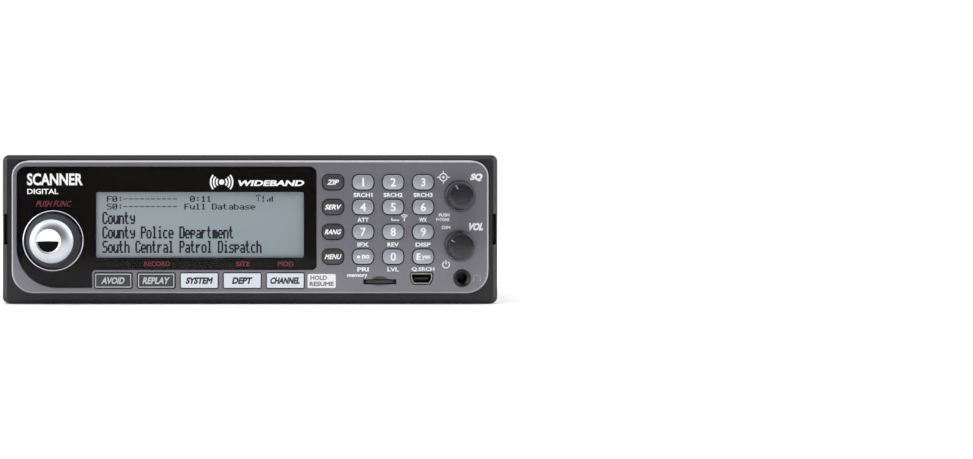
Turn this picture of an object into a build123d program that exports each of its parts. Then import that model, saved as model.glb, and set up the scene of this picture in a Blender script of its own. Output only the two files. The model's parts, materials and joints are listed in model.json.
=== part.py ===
"""Mobile police scanner with a DIN-size nose, built as separate pieces in millimetres.

The row frame has +Z up, +X to the user's right and the front facing -Y. Its origin is the middle of
the footprint at the soles of the rubber feet. Places on the front are given as (x, h), right of and
above the middle of the trim bezel, and as a depth d behind the trim bezel's front face.
"""

import math
import os

from build123d import *

# ---------------------------------------------------------------- driving dimensions
TRIM_W, TRIM_H, TRIM_DEPTH = 185.0, 55.4, 9.0
TRIM_CORNER, TRIM_BEVEL_W, TRIM_BEVEL_D = 2.3, 1.6, 1.1
TRIM_GROUND_GAP = 0.3
SLOT_X, SLOT_W, SLOT_H, SLOT_DEPTH = 91.27, 1.45, 11.5, 6.0

PANEL_W, PANEL_TOP, PANEL_BOTTOM = 178.1, 25.5, -24.0
PANEL_TOP_R, PANEL_BOTTOM_R, PANEL_EDGE_R = 5.8, 8.2, 1.0
PANEL_FACE, PANEL_WALL, NOSE_WALL = -1.6, 2.4, 2.0
NOSE_BACK = 15.0
WALL_BACK = PANEL_FACE + PANEL_WALL

LENS_LEFT, LENS_RIGHT, LENS_TOP = -87.1, 24.8, 23.4
LENS_SHELF, LENS_BOTTOM, LENS_STEP_X = -15.2, -21.9, -59.0
LENS_T, MASK_T, LENS_POCKET = 1.2, 0.25, 1.5
LENS_GAP = 0.1
WINDOW_W, WINDOW_H, WINDOW_X, WINDOW_UP = 77.6, 24.5, -18.7, 1.6

KEY_TRAVEL, KEY_GAP, KEY_LIP = 0.8, 0.3, 0.4
PAD_W, PAD_H, PAD_R, PAD_PROUD = 7.9, 5.6, 2.3, 1.0
PAD_X0, PAD_PITCH_X, PAD_UP0, PAD_PITCH_UP = 30.94, 11.2, 17.53, 9.25
BAR_W, BAR_H, BAR_R, BAR_PROUD = 13.9, 5.6, 0.45, 0.8
BAR_X0, BAR_PITCH, BAR_UP = -51.0, 16.03, -19.13
STEM_R = 1.6

SHAFT_R, SHAFT_CLEAR, BUSH_R = 3.0, 0.04, 3.5
SCROLL_X, SCROLL_UP, SCROLL_PROUD, SCROLL_FACE_R = -73.4, -4.3, 11.0, 8.1
RING_R, RING_BORE_R = 11.35, 10.45
DISH_R, DISH_SPHERE_R, DISH_OFFSET = 4.5, 7.0, 0.7
POT_X, SQUELCH_UP, VOLUME_UP, POT_PROUD = 78.2, 12.4, -6.2, 9.0
SQUELCH_POINTER, VOLUME_POINTER = 29.5, 59.5

JACK_X, JACK_UP, JACK_R, PLUG_R = 79.1, -18.3, 3.3, 1.8
USB_X, USB_UP, USB_W, USB_H = 64.0, -18.4, 7.9, 3.9
CARD_X, CARD_UP, CARD_W, CARD_T, CARD_LEN = 48.4, -19.6, 11.0, 0.7, 15.0
CARD_SLOT_W, CARD_SLOT_H = 12.4, 1.9

BOARD_FRONT, BOARD_T = 8.0, 1.6
CASE_BACK, SHEET, COVER_SHEET = 143.0, 1.2, 1.0
CASE_TOP, CASE_BOTTOM, COVER_HALF_W = PANEL_TOP - 0.5, PANEL_BOTTOM + 0.5, 88.0
CHASSIS_HALF_W = COVER_HALF_W - COVER_SHEET - 0.1
MAIN_BOARD_TOP = -16.95
SPEAKER_X, SPEAKER_D, SPEAKER_R = -38.0, 75.0, 28.5
SCREW_HEAD_R, SCREW_HEAD_H, SCREW_R, SCREW_LEN, SCREW_CORE_R = 2.75, 1.8, 1.2, 5.0, 1.25
BRACKET_D = (45.0, 85.0)
BRACKET_HOLE_R = 1.65
BNC_R, BNC_NECK_R, BNC_REACH = 4.8, 4.6, 11.0
JACKSCREW_HALF = 12.5

# ---------------------------------------------------------------- derived places
KNOB_REACH = SCROLL_PROUD - PANEL_FACE
FRONT_Y = -(CASE_BACK + BNC_REACH - KNOB_REACH) / 2
FACE_Z = TRIM_GROUND_GAP + TRIM_H / 2
FOOT_H = FACE_Z + CASE_BOTTOM
LENS_FACE = PANEL_FACE + 0.05
MASK_FACE = LENS_FACE + LENS_T
LENS_FLOOR = PANEL_FACE + LENS_POCKET
FLANGE_FRONT = WALL_BACK + 0.05
FLANGE_BACK = FLANGE_FRONT + 0.8
MAT_T, PAD_DOME = 0.8, 0.5
MAT_FRONT = BOARD_FRONT - 0.1 - MAT_T
STEM_END = MAT_FRONT - PAD_DOME - 0.1 - KEY_TRAVEL
CONTROL_FRONT, CONTROL_BACK = WALL_BACK + 1.1, BOARD_FRONT - 0.1
SHAFT_BACK = CONTROL_FRONT + 3.1
CHASSIS_TOP = CASE_TOP - COVER_SHEET - 0.05
PAN_TOP = CASE_BOTTOM + SHEET
MAIN_BOARD_BOTTOM = MAIN_BOARD_TOP - BOARD_T

# Each board screw of the front circuit board goes into a boss behind the panel, at (x, h).
FRONT_BOSSES = [(-82.0, 20.0), (-82.0, -17.0), (21.5, 20.6), (31.0, -18.4), (80.0, 3.1)]
MAIN_STANDOFFS = [(x, d) for x in (-77.0, 77.0) for d in (33.0, 132.0)]
COVER_SIDE_SCREWS = [(25.0, -15.0), (128.0, -15.0)]
COVER_REAR_SCREWS = [-62.0, 40.0]
NOSE_SCREW_D, NOSE_SCREW_UPS = 12.5, (-12.0, 14.0)

DARK_KEYS = ["key_place", "key_service", "key_range", "key_menu"]
PAD_KEYS = [
    ["key_1", "key_2", "key_3"],
    ["key_4", "key_5", "key_6"],
    ["key_7", "key_8", "key_9"],
    ["key_no", "key_0", "key_yes"],
]
BAR_KEYS = ["key_skip", "key_replay", "key_system", "key_group", "key_channel"]


# ---------------------------------------------------------------- helpers
def face_plane(d, x=0.0, h=0.0):
    """Plane parallel to the front at depth d, with its origin at (x, h), X right and Y up."""
    return Plane(origin=(x, FRONT_Y + d, FACE_Z + h), x_dir=(1, 0, 0), z_dir=(0, -1, 0))


def slab(sketch, front, back, x=0.0, h=0.0):
    """The sketch, placed at (x, h), as a solid from depth front to depth back."""
    return extrude(face_plane(front, x, h) * sketch, amount=front - back)


def box(x0, x1, d0, d1, h0, h1):
    """A plain block between two places in x, depth and height."""
    size = Box(x1 - x0, d1 - d0, h1 - h0)
    return Pos((x0 + x1) / 2, FRONT_Y + (d0 + d1) / 2, FACE_Z + (h0 + h1) / 2) * size


def cut_apart(shape, blocks):
    """The shape as separate solids that meet face to face: what is in each block, then the rest."""
    parts = []
    for block in blocks:
        parts += (shape & block).solids()
        shape -= block
    return Compound(children=parts + shape.solids())


def outline(points, radii, grow=0.0):
    """A face from corner points with one radius for each corner, grown outwards by grow."""
    face = make_face(FilletPolyline(*points, radius=radii, close=True))
    return offset(face, amount=grow) if grow else face


def turned(points, x=0.0, h=0.0, radii=0.0):
    """A turned solid whose axis runs into the front at (x, h); points are (radius, depth)."""
    plane = Plane(origin=(x, FRONT_Y, FACE_Z + h), x_dir=(1, 0, 0), z_dir=(0, 0, 1))
    section = make_face(FilletPolyline(*points, radius=radii, close=True))
    return revolve(plane * section, axis=Axis((x, FRONT_Y, FACE_Z + h), (0, 1, 0)))


def rod(radius, front, back, x=0.0, h=0.0):
    """A round bar or hole cutter along the depth."""
    return slab(Circle(radius), front, back, x, h)


def upright(radius, bottom, top, x, d):
    """A round bar or hole cutter that stands between two heights."""
    plane = Plane(origin=(x, FRONT_Y + d, FACE_Z + bottom))
    return extrude(plane * Circle(radius), amount=top - bottom)


def crossways(radius, x0, x1, d, h):
    """A round bar or hole cutter that lies along X from x0 to x1."""
    plane = Plane(origin=(x0, FRONT_Y + d, FACE_Z + h), x_dir=(0, 1, 0), z_dir=(1, 0, 0))
    return extrude(plane * Circle(radius), amount=x1 - x0)


def front_edges(shape):
    """The edges of the frontmost flat face of a shape."""
    return shape.faces().sort_by(Axis.Y)[0].edges()


# ---------------------------------------------------------------- outlines
def panel_outline(grow=0.0):
    half = PANEL_W / 2
    points = [(-half, PANEL_BOTTOM), (half, PANEL_BOTTOM), (half, PANEL_TOP), (-half, PANEL_TOP)]
    return outline(points, [PANEL_BOTTOM_R, PANEL_BOTTOM_R, PANEL_TOP_R, PANEL_TOP_R], grow)


def lens_outline(grow=0.0):
    """The display lens: a wide pane with a lobe round the scroll knob at its lower left."""
    corners = [
        ((LENS_LEFT, LENS_BOTTOM), 15.0),
        ((LENS_STEP_X, LENS_BOTTOM), 0.25),
        ((LENS_STEP_X, LENS_SHELF), 1.5),
        ((LENS_RIGHT, LENS_SHELF), 1.9),
        ((LENS_RIGHT, LENS_TOP), 2.6),
        ((LENS_LEFT, LENS_TOP), 3.4),
    ]
    return outline([c[0] for c in corners], [c[1] for c in corners], grow)


def pad_centre(row, column):
    return PAD_X0 + column * PAD_PITCH_X, PAD_UP0 - row * PAD_PITCH_UP


def pad_key_places():
    """Every oval key as (name, x, h): four dark keys in the first column, twelve number keys."""
    places = [(name, *pad_centre(row, 0)) for row, name in enumerate(DARK_KEYS)]
    for row, names in enumerate(PAD_KEYS):
        places += [(name, *pad_centre(row, column + 1)) for column, name in enumerate(names)]
    return places


def bar_key_places():
    return [(name, BAR_X0 + i * BAR_PITCH, BAR_UP) for i, name in enumerate(BAR_KEYS)]


def usb_outline(grow=0.0):
    """A mini USB mouth: wide at the top, with its lower corners drawn in."""
    w, t = USB_W / 2, USB_H / 2
    points = [(-w + 0.9, -t), (w - 0.9, -t), (w, -t + 2.0), (w, t), (-w, t), (-w, -t + 2.0)]
    return outline(points, [0.3] * 6, grow)


# ---------------------------------------------------------------- front of the radio
def make_trim_bezel():
    """Clip-on surround of the nose, with a slot each side for the removal keys."""
    outer = slab(RectangleRounded(TRIM_W, TRIM_H, TRIM_CORNER), 0, TRIM_DEPTH)
    outer = chamfer(front_edges(outer), TRIM_BEVEL_D, TRIM_BEVEL_W)
    mouth = slab(panel_outline(0.25), -1, TRIM_DEPTH + 1)
    trim = outer - mouth
    for side in (-1, 1):
        trim -= slab(Rectangle(SLOT_W, SLOT_H), -1, SLOT_DEPTH, x=side * SLOT_X)
    return trim


def card_scoop():
    """A lemon-shaped finger scoop across the card slot, turned about a line along X."""
    half, deep = 4.5, 2.2
    arc = ThreePointArc((-half, 0), (0, deep), (half, 0))
    section = make_face([arc, Line((half, 0), (-half, 0))])
    axis_plane = face_plane(PANEL_FACE - 0.5, CARD_X, CARD_UP)
    return revolve(axis_plane * section, axis=Axis(axis_plane.origin, (1, 0, 0)))


def make_front_panel():
    """The moulded nose: front wall with every opening, the four walls behind it, screw bosses."""
    nose = slab(panel_outline(), PANEL_FACE, NOSE_BACK)
    nose = fillet(front_edges(nose), PANEL_EDGE_R)
    nose -= slab(panel_outline(-NOSE_WALL), WALL_BACK, NOSE_BACK + 1)
    lips_left, lips_right = BAR_X0 - BAR_W / 2 - 1.5, BAR_X0 + 4 * BAR_PITCH + BAR_W / 2 + 1.5
    nose -= box(lips_left, lips_right, WALL_BACK, FLANGE_BACK + KEY_TRAVEL + 0.3, PANEL_BOTTOM + 1.2, BAR_UP)
    for x, h in FRONT_BOSSES:
        nose += rod(2.4, WALL_BACK - 0.2, BOARD_FRONT - 0.02, x, h)
    nose -= slab(lens_outline(LENS_GAP), PANEL_FACE - 1, LENS_FLOOR)
    nose -= slab(RectangleRounded(80, 26.6, 0.5), LENS_FLOOR - 1, WALL_BACK + 1, WINDOW_X, WINDOW_UP)
    nose -= rod(BUSH_R + 0.2, LENS_FLOOR - 1, WALL_BACK + 1, SCROLL_X, SCROLL_UP)
    for _, x, h in pad_key_places():
        hole = RectangleRounded(PAD_W + 2 * KEY_GAP, PAD_H + 2 * KEY_GAP, PAD_R + KEY_GAP)
        nose -= slab(hole, PANEL_FACE - 1, WALL_BACK + 1, x, h)
    for _, x, h in bar_key_places():
        hole = RectangleRounded(BAR_W + 2 * KEY_GAP, BAR_H + 2 * KEY_GAP, BAR_R + KEY_GAP)
        nose -= slab(hole, PANEL_FACE - 1, WALL_BACK + 1, x, h)
    for h in (SQUELCH_UP, VOLUME_UP):
        nose -= rod(6.0, PANEL_FACE - 1, PANEL_FACE + 0.5, POT_X, h)
        nose -= rod(BUSH_R + 0.2, PANEL_FACE, WALL_BACK + 1, POT_X, h)
    nose -= rod(JACK_R + 0.05, PANEL_FACE - 1, WALL_BACK + 1, JACK_X, JACK_UP)
    nose -= slab(usb_outline(0.4), PANEL_FACE - 1, WALL_BACK + 1, USB_X, USB_UP)
    nose -= slab(Rectangle(CARD_SLOT_W, CARD_SLOT_H), PANEL_FACE - 1, WALL_BACK + 1, CARD_X, CARD_UP)
    nose -= card_scoop()
    for x, h in FRONT_BOSSES:
        nose -= rod(SCREW_CORE_R, BOARD_FRONT - 5.5, BOARD_FRONT + 1, x, h)
    for side in (-1, 1):
        for h in NOSE_SCREW_UPS:
            ends = sorted((side * (PANEL_W / 2 - 3), side * (PANEL_W / 2 + 1)))
            nose -= crossways(1.6, *ends, NOSE_SCREW_D, h)
    half, low, high, back = PANEL_W / 2, PANEL_BOTTOM, PANEL_TOP, NOSE_BACK
    walls = [box(-half, half, PANEL_FACE, WALL_BACK, low, high)]
    for bottom, top in ((low, low + NOSE_WALL), (high - NOSE_WALL, high)):
        walls.append(box(PANEL_BOTTOM_R - half, half - PANEL_BOTTOM_R, WALL_BACK, back, bottom, top))
    for left, right in ((-half, NOSE_WALL - half), (half - NOSE_WALL, half)):
        walls.append(box(left, right, 0, back, low + PANEL_BOTTOM_R, high - PANEL_TOP_R))
    return cut_apart(nose, walls)


def make_display_lens():
    lens = slab(lens_outline(), LENS_FACE, MASK_FACE)
    lens = chamfer(front_edges(lens), 0.15)
    return lens - rod(RING_R + 0.05, PANEL_FACE - 1, WALL_BACK, SCROLL_X, SCROLL_UP)


def make_lens_mask():
    """The black printed film behind the lens, open over the display."""
    mask = slab(lens_outline(-0.05), MASK_FACE + 0.02, MASK_FACE + MASK_T - 0.02)
    window = RectangleRounded(WINDOW_W, WINDOW_H, 0.7)
    mask -= slab(window, MASK_FACE - 1, WALL_BACK, WINDOW_X, WINDOW_UP)
    return mask - rod(RING_R + 0.05, MASK_FACE - 1, WALL_BACK, SCROLL_X, SCROLL_UP)


def make_knob_ring():
    """The bright trim ring that the scroll knob stands in."""
    front = PANEL_FACE - 1.0
    points = [
        (RING_BORE_R, LENS_FLOOR),
        (RING_BORE_R, front),
        (RING_R, front),
        (RING_R, LENS_FLOOR),
    ]
    return turned(points, SCROLL_X, SCROLL_UP, radii=[0.0, 0.4, 0.4, 0.0])


def make_lcd_panel():
    return slab(Rectangle(82.0, 28.0), WALL_BACK + 0.2, WALL_BACK + 2.2, WINDOW_X, WINDOW_UP)


def make_lcd_backlight():
    """White light guide and frame that holds the display glass against the panel."""
    frame = slab(RectangleRounded(84.6, 30.2, 0.5), WALL_BACK + 0.1, BOARD_FRONT - 0.05, WINDOW_X, WINDOW_UP)
    return frame - slab(Rectangle(82.1, 28.1), WALL_BACK - 1, WALL_BACK + 2.25, WINDOW_X, WINDOW_UP)


# ---------------------------------------------------------------- keys
def make_key(width, height, corner, proud, x, h, crown=None):
    """A key cap with the lip that keeps it behind the panel and the stem that presses the mat."""
    front = PANEL_FACE - proud
    cap = slab(RectangleRounded(width, height, corner), front, FLANGE_FRONT + 0.1)
    if crown:
        cap &= Pos(0, FRONT_Y + front + crown, FACE_Z) * Sphere(crown)
        cap = fillet(cap.faces().sort_by(Axis.Y)[0].edges(), 0.3)
    else:
        cap = fillet(front_edges(cap), 0.25)
    spread = 2 * (KEY_GAP + KEY_LIP)
    lip = RectangleRounded(width + spread, height + spread, corner + KEY_LIP)
    key = cap + slab(lip, FLANGE_FRONT, FLANGE_BACK) + rod(STEM_R, FLANGE_BACK - 0.1, STEM_END)
    return Pos(x, 0, h) * key


def make_keypad_mat():
    """One silicone sheet under all the keys, with a pad for each stem."""
    left, right = PAD_X0 - 5.2, PAD_X0 + 3 * PAD_PITCH_X + 4.6
    top, low = PAD_UP0 + 3.6, PAD_UP0 - 3 * PAD_PITCH_UP - 3.4
    bar_left, bar_right = BAR_X0 - 7.4, 28.4
    bar_top, bar_low = BAR_UP + 3.3, BAR_UP - 2.7
    neck_left, neck_right, neck_low = left - 6.0, 36.0, low - 2.0
    points = [
        (left, top), (right, top), (right, low), (neck_right, low), (neck_right, neck_low),
        (bar_right, neck_low), (bar_right, bar_low), (bar_left, bar_low), (bar_left, bar_top),
        (neck_left, bar_top), (neck_left, low), (left, low),
    ]
    mat = slab(make_face(Polyline(*points, close=True)), MAT_FRONT, MAT_FRONT + MAT_T)
    for _, x, h in pad_key_places() + bar_key_places():
        mat += rod(2.0, MAT_FRONT - PAD_DOME, MAT_FRONT + 0.1, x, h)
    return mat


# ---------------------------------------------------------------- rotary controls
def make_control_body(width, height, bush_front, x, h):
    """A board-mounted rotary control: square body, round bush, blind bore for its shaft."""
    body = slab(RectangleRounded(width, height, 0.5), CONTROL_FRONT, CONTROL_BACK, x, h)
    body += rod(BUSH_R, bush_front, CONTROL_FRONT + 0.1, x, h)
    return body - rod(SHAFT_R + SHAFT_CLEAR, bush_front - 1, CONTROL_BACK - 0.6, x, h)


def make_shaft(tip, x, h):
    """A steel shaft with a flat for the knob."""
    shaft = turned([(0, tip), (SHAFT_R, tip), (SHAFT_R, SHAFT_BACK), (0, SHAFT_BACK)], x, h,
                   radii=[0, 0.4, 0.2, 0])
    return shaft - slab(Pos(0, SHAFT_R - 0.6 + 2) * Rectangle(8, 4), tip - 1, PANEL_FACE - 1.4, x, h)


def make_plunger(x, h):
    """The small slider behind a shaft that works the push switch."""
    front = SHAFT_BACK + 0.03
    return turned([(0, front), (2.6, front), (2.6, front + 0.8), (1.4, front + 1.5), (0, front + 1.5)], x, h)


def make_scroll_knob():
    """Dark, slightly tapered body of the scroll knob, hollow behind and seated for its cap."""
    seat = PANEL_FACE - SCROLL_PROUD + 1.3
    base = PANEL_FACE - 0.7
    points = [
        (SHAFT_R + 0.03, base - 0.5), (5.2, base - 0.5), (5.2, -7.0), (8.2, -7.0), (9.1, base),
        (10.05, base), (10.05, base - 1.2), (9.2, -7.0), (8.35, seat), (6.55, seat),
        (6.55, seat + 2.05), (SHAFT_R + 0.03, seat + 2.05),
    ]
    return turned(points, SCROLL_X, SCROLL_UP, radii=[0, 0, 0, 0, 0, 0.3, 0.6, 12.0, 0.15, 0, 0, 0])


def make_scroll_cap():
    """Bright metal cap with a shallow cone round an off-centre finger dish."""
    front = PANEL_FACE - SCROLL_PROUD
    points = [
        (0, front), (DISH_R + DISH_OFFSET + 0.2, front), (SCROLL_FACE_R - 0.3, front + 0.35),
        (SCROLL_FACE_R, front + 0.6), (SCROLL_FACE_R, front + 1.3), (6.5, front + 1.3),
        (6.5, front + 3.3), (0, front + 3.3),
    ]
    cap = turned(points, SCROLL_X, SCROLL_UP, radii=[0, 0, 0.2, 0.2, 0, 0, 0, 0])
    rise = math.sqrt(DISH_SPHERE_R**2 - DISH_R**2)
    centre = (SCROLL_X - DISH_OFFSET, FRONT_Y + front - rise, FACE_Z + SCROLL_UP)
    return cap - Pos(*centre) * Sphere(DISH_SPHERE_R)


def make_small_knob(h, pointer):
    """Squelch or volume knob: thin skirt, tapered grip and a pointer groove in its front edge."""
    front = PANEL_FACE - POT_PROUD
    base = PANEL_FACE - 0.4
    points = [
        (SHAFT_R + 0.03, base), (5.4, base), (5.4, base - 0.9), (4.95, base - 1.3),
        (4.7, front + 0.5), (4.3, front), (0, front - 0.15), (0, front + 2.2), (SHAFT_R + 0.03, front + 2.2),
    ]
    knob = turned(points, POT_X, h, radii=[0, 0.2, 0.3, 0.3, 0.5, 0.4, 0, 0, 0])
    groove = Rot(0, 0, pointer) * Pos(0, 4.0) * RectangleRounded(0.75, 3.0, 0.3)
    return knob - slab(groove, front - 1, front + 0.7, POT_X, h)


# ---------------------------------------------------------------- sockets at the front
def make_headphone_jack():
    """3.5 mm socket: bright bush through the panel, body behind it."""
    front = PANEL_FACE - 0.5
    bush = turned([(PLUG_R, front + 0.9), (2.7, front), (JACK_R, front), (JACK_R, 1.4), (PLUG_R, 1.4)],
                  JACK_X, JACK_UP, radii=[0, 0.15, 0.3, 0, 0])
    body = slab(RectangleRounded(9.0, 5.7, 0.4), WALL_BACK + 0.1, 13.0, JACK_X, JACK_UP)
    return bush + body - rod(PLUG_R, front - 1, 12.0, JACK_X, JACK_UP)


def make_usb_port():
    """Mini USB socket: folded metal shell, and the moulded tongue with its back."""
    front, back = PANEL_FACE + 0.6, 9.0
    shell = slab(usb_outline(), front, back, USB_X, USB_UP)
    shell -= slab(usb_outline(-0.35), front - 1, back - 1.0, USB_X, USB_UP)
    leg_top = -15.42
    for side in (-1, 1):
        x = USB_X + side * (USB_W / 2 - 0.6)
        shell += box(x - 0.4, x + 0.4, 2.5, 7.5, USB_UP + USB_H / 2 - 0.1, leg_top)
    tongue = box(USB_X - 2.6, USB_X + 2.6, front + 0.7, back - 1.02, USB_UP - 0.35, USB_UP + 0.35)
    return Compound(children=[shell, tongue])


def make_card_socket():
    """Thin metal card cage that hangs under the socket board on two legs."""
    front, back = WALL_BACK + 0.15, 16.0
    cage = box(CARD_X - 6.5, CARD_X + 6.5, front, back, CARD_UP - 1.0, CARD_UP + 1.0)
    cage -= box(CARD_X - 5.65, CARD_X + 5.65, front - 1, back - 0.8, CARD_UP - 0.6, CARD_UP + 0.6)
    for side in (-1, 1):
        x = CARD_X + side * 6.15
        cage += box(x - 0.35, x + 0.35, 3.0, 14.0, CARD_UP + 0.9, -15.42)
    return cage


def make_memory_card():
    """A small card with a raised grip along its outer edge, flush in the slot."""
    front = PANEL_FACE + 0.7
    left, right = CARD_X - CARD_W / 2, CARD_X + CARD_W / 2
    card = box(left, right, front, front + CARD_LEN, CARD_UP - 0.4, CARD_UP - 0.4 + CARD_T)
    card = chamfer(card.edges().filter_by(Axis.Z), 0.5)
    return card + box(CARD_X - 4.9, CARD_X + 4.9, front, front + 0.9, CARD_UP + 0.2, CARD_UP + 0.5)


def make_socket_board():
    return box(40.8, 84.4, WALL_BACK + 1.2, 22.0, -15.4, -14.2)


def make_front_board():
    """Circuit board of the controls and display, with its larger parts behind it."""
    back = BOARD_FRONT + BOARD_T
    board = slab(panel_outline(-NOSE_WALL - 0.5), BOARD_FRONT, back)
    board -= box(40.2, 90.0, BOARD_FRONT - 1, back + 1, -30.0, -13.9)
    for x, h in FRONT_BOSSES:
        board -= rod(1.6, BOARD_FRONT - 1, back + 1, x, h)
    chips = [
        slab(Rectangle(14, 14), back, back + 1.2, -30, 4),
        slab(Rectangle(10, 10), back, back + 1.0, 8, 8),
        slab(Rectangle(24, 4.5), back, back + 2.2, -5, -8),
        slab(Rectangle(8, 5), back, back + 1.6, 50, 5),
    ]
    return Compound(children=[board, *chips])


# ---------------------------------------------------------------- case
def make_chassis():
    """Steel pan with its standoffs, and the rear and side walls with tabs that enter the nose."""
    half = CHASSIS_HALF_W
    pan = box(-half, half, NOSE_BACK + 0.05, CASE_BACK, CASE_BOTTOM, CHASSIS_TOP)
    pan -= box(-half + SHEET, half - SHEET, NOSE_BACK - 1, CASE_BACK - SHEET, PAN_TOP, CHASSIS_TOP + 1)
    for side in (-1, 1):
        inner, outer = half - SHEET, half
        tab = sorted((side * inner, side * outer))
        pan += box(*tab, 10.2, NOSE_BACK + 0.2, -16.0, 18.0)
        for h in NOSE_SCREW_UPS:
            pan -= crossways(SCREW_CORE_R, *sorted((side * (inner - 1), side * (outer + 1))), NOSE_SCREW_D, h)
        for d in BRACKET_D:
            pan += crossways(4.0, *sorted((side * (inner - 3.0), side * (inner + 0.1))), d, 0.0)
            pan -= crossways(BRACKET_HOLE_R, *sorted((side * (inner - 4.0), side * (outer + 1))), d, 0.0)
        for d, h in COVER_SIDE_SCREWS:
            pan -= crossways(SCREW_CORE_R, *sorted((side * (inner - 1), side * (outer + 1))), d, h)
    for x, d in MAIN_STANDOFFS:
        pan += upright(3.2, PAN_TOP - 0.1, MAIN_BOARD_BOTTOM, x, d)
        pan -= upright(SCREW_CORE_R, PAN_TOP - 0.4, MAIN_BOARD_BOTTOM + 1, x, d)
    for x in COVER_REAR_SCREWS:
        pan -= rod(SCREW_CORE_R, CASE_BACK - SHEET - 1, CASE_BACK + 1, x, 20.0)
    for cutter in rear_cutters():
        pan -= cutter
    for cutter in side_vents():
        pan -= cutter
    walls = [box(-half, half, CASE_BACK - SHEET, CASE_BACK, PAN_TOP, CHASSIS_TOP)]
    for left, right in ((-half, SHEET - half), (half - SHEET, half)):
        walls.append(box(left, right, 5, CASE_BACK, PAN_TOP, CHASSIS_TOP))
    bosses = box(-half, half, 5, CASE_BACK, PAN_TOP, CHASSIS_TOP)
    return cut_apart(pan, [*walls, bosses])


def side_vents():
    """Cutters for the row of upright vent slots near the back of each side."""
    vents = []
    for i in range(9):
        d = 98.0 + 3.6 * i
        slot = box(-COVER_HALF_W - 1, COVER_HALF_W + 1, d - 0.8, d + 0.8, 2.0, 16.0)
        vents.append(fillet(slot.edges().filter_by(Axis.X), 0.75))
    return vents


def make_top_cover():
    """Steel cover: top, full-height sides and a short lip over the rear wall."""
    half = COVER_HALF_W
    cover = box(-half, half, NOSE_BACK + 0.05, CASE_BACK, CASE_BOTTOM + 0.2, CASE_TOP)
    cover += box(-half, half, CASE_BACK - 1, CASE_BACK + COVER_SHEET, CASE_TOP - 9.0, CASE_TOP)
    cover = fillet(cover.edges().filter_by(Axis.Y).group_by(Axis.Z)[-1], 1.3)
    inner = half - COVER_SHEET
    cover -= box(-inner, inner, NOSE_BACK - 1, CASE_BACK + 0.05, CASE_BOTTOM - 1, CASE_TOP - COVER_SHEET)
    rows = 11
    for i in range(rows):
        across = (i - (rows - 1) / 2) * 4.6
        length = 2 * math.sqrt(26.0**2 - across**2)
        cover -= grille_slot(length, SPEAKER_X, SPEAKER_D + across)
    for i in range(16):
        cover -= grille_slot(9.0, 28.0 + 3.2 * i, 122.0, lengthways=True)
    for side in (-1, 1):
        reach = sorted((side * (inner - 1), side * (half + 1)))
        for d in BRACKET_D:
            cover -= crossways(4.0, *reach, d, 0.0)
        for d, h in COVER_SIDE_SCREWS:
            cover -= crossways(1.6, *reach, d, h)
    for x in COVER_REAR_SCREWS:
        cover -= rod(1.6, CASE_BACK - 0.5, CASE_BACK + 2, x, 20.0)
    for cutter in side_vents():
        cover -= cutter
    return cover


def grille_slot(length, x, d, lengthways=False):
    """Cutter for one round-ended slot in the top, 2 mm wide."""
    plane = Plane(origin=(x, FRONT_Y + d, FACE_Z + CASE_TOP - 3))
    slot = Rot(0, 0, 90 if lengthways else 0) * SlotOverall(length, 2.0)
    return extrude(plane * slot, amount=6)


# Places of the rear sockets, seen from the front: name, x, h.
REAR_UP = -9.8
BNC_X, SERIAL_X, HOST_X, POWER_X = 66.0, 22.0, -10.0, -68.0
AUDIO_XS = (-32.0, -46.0)
HOST_UP, POWER_UP, AUDIO_UP = -13.4, -11.0, -12.2


def rear_cutters():
    """Cutters for every socket in the rear wall."""
    wall = (CASE_BACK - SHEET - 1, CASE_BACK + 1)
    holes = [rod(BNC_R + 0.15, *wall, BNC_X, REAR_UP), rod(4.3, *wall, POWER_X, POWER_UP)]
    holes += [rod(3.1, *wall, x, AUDIO_UP) for x in AUDIO_XS]
    holes.append(slab(RectangleRounded(18.2, 10.0, 2.0), *wall, SERIAL_X, REAR_UP))
    holes += [rod(1.7, *wall, SERIAL_X + side * JACKSCREW_HALF, REAR_UP) for side in (-1, 1)]
    holes.append(slab(Rectangle(13.6, 6.0), *wall, HOST_X, HOST_UP))
    return holes


def make_main_board():
    """Main circuit board with its chips, capacitors and coils."""
    board = box(-82.5, 82.5, 27.0, 139.0, MAIN_BOARD_BOTTOM, MAIN_BOARD_TOP)
    for x, d in MAIN_STANDOFFS:
        board -= upright(1.6, MAIN_BOARD_BOTTOM - 1, MAIN_BOARD_TOP + 1, x, d)
    pieces = [board]
    chips = [(-55, 50, 20, 20, 1.6), (-20, 55, 14, 14, 1.4), (60, 45, 12, 18, 1.2), (-60, 95, 10, 12, 4.0)]
    for x, d, w, depth, tall in chips:
        front, back = d - depth / 2, d + depth / 2
        pieces.append(box(x - w / 2, x + w / 2, front, back, MAIN_BOARD_TOP, MAIN_BOARD_TOP + tall))
    cans = [(-75, 116, 5.0, 12.0), (-62, 112, 5.0, 12.0), (-22, 118, 4.0, 9.0), (74, 60, 3.2, 7.0)]
    for x, d, radius, tall in cans:
        pieces.append(upright(radius, MAIN_BOARD_TOP, MAIN_BOARD_TOP + tall, x, d))
    return Compound(children=pieces)


def make_shield_cans():
    """Tinned steel cans over the receiver stages of the main board."""
    cans = []
    for x, d, w, depth, tall in [(20, 70, 46, 40, 8.0), (60, 88, 28, 44, 8.0), (-22, 88, 30, 20, 6.0)]:
        front, back = d - depth / 2, d + depth / 2
        can = box(x - w / 2, x + w / 2, front, back, MAIN_BOARD_TOP + 0.02, MAIN_BOARD_TOP + tall)
        hollow = box(x - w / 2 + 0.4, x + w / 2 - 0.4, d - depth / 2 + 0.4, d + depth / 2 - 0.4,
                     MAIN_BOARD_TOP - 1, MAIN_BOARD_TOP + tall - 0.4)
        cans.append(can - hollow)
    return Compound(children=cans)


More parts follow.
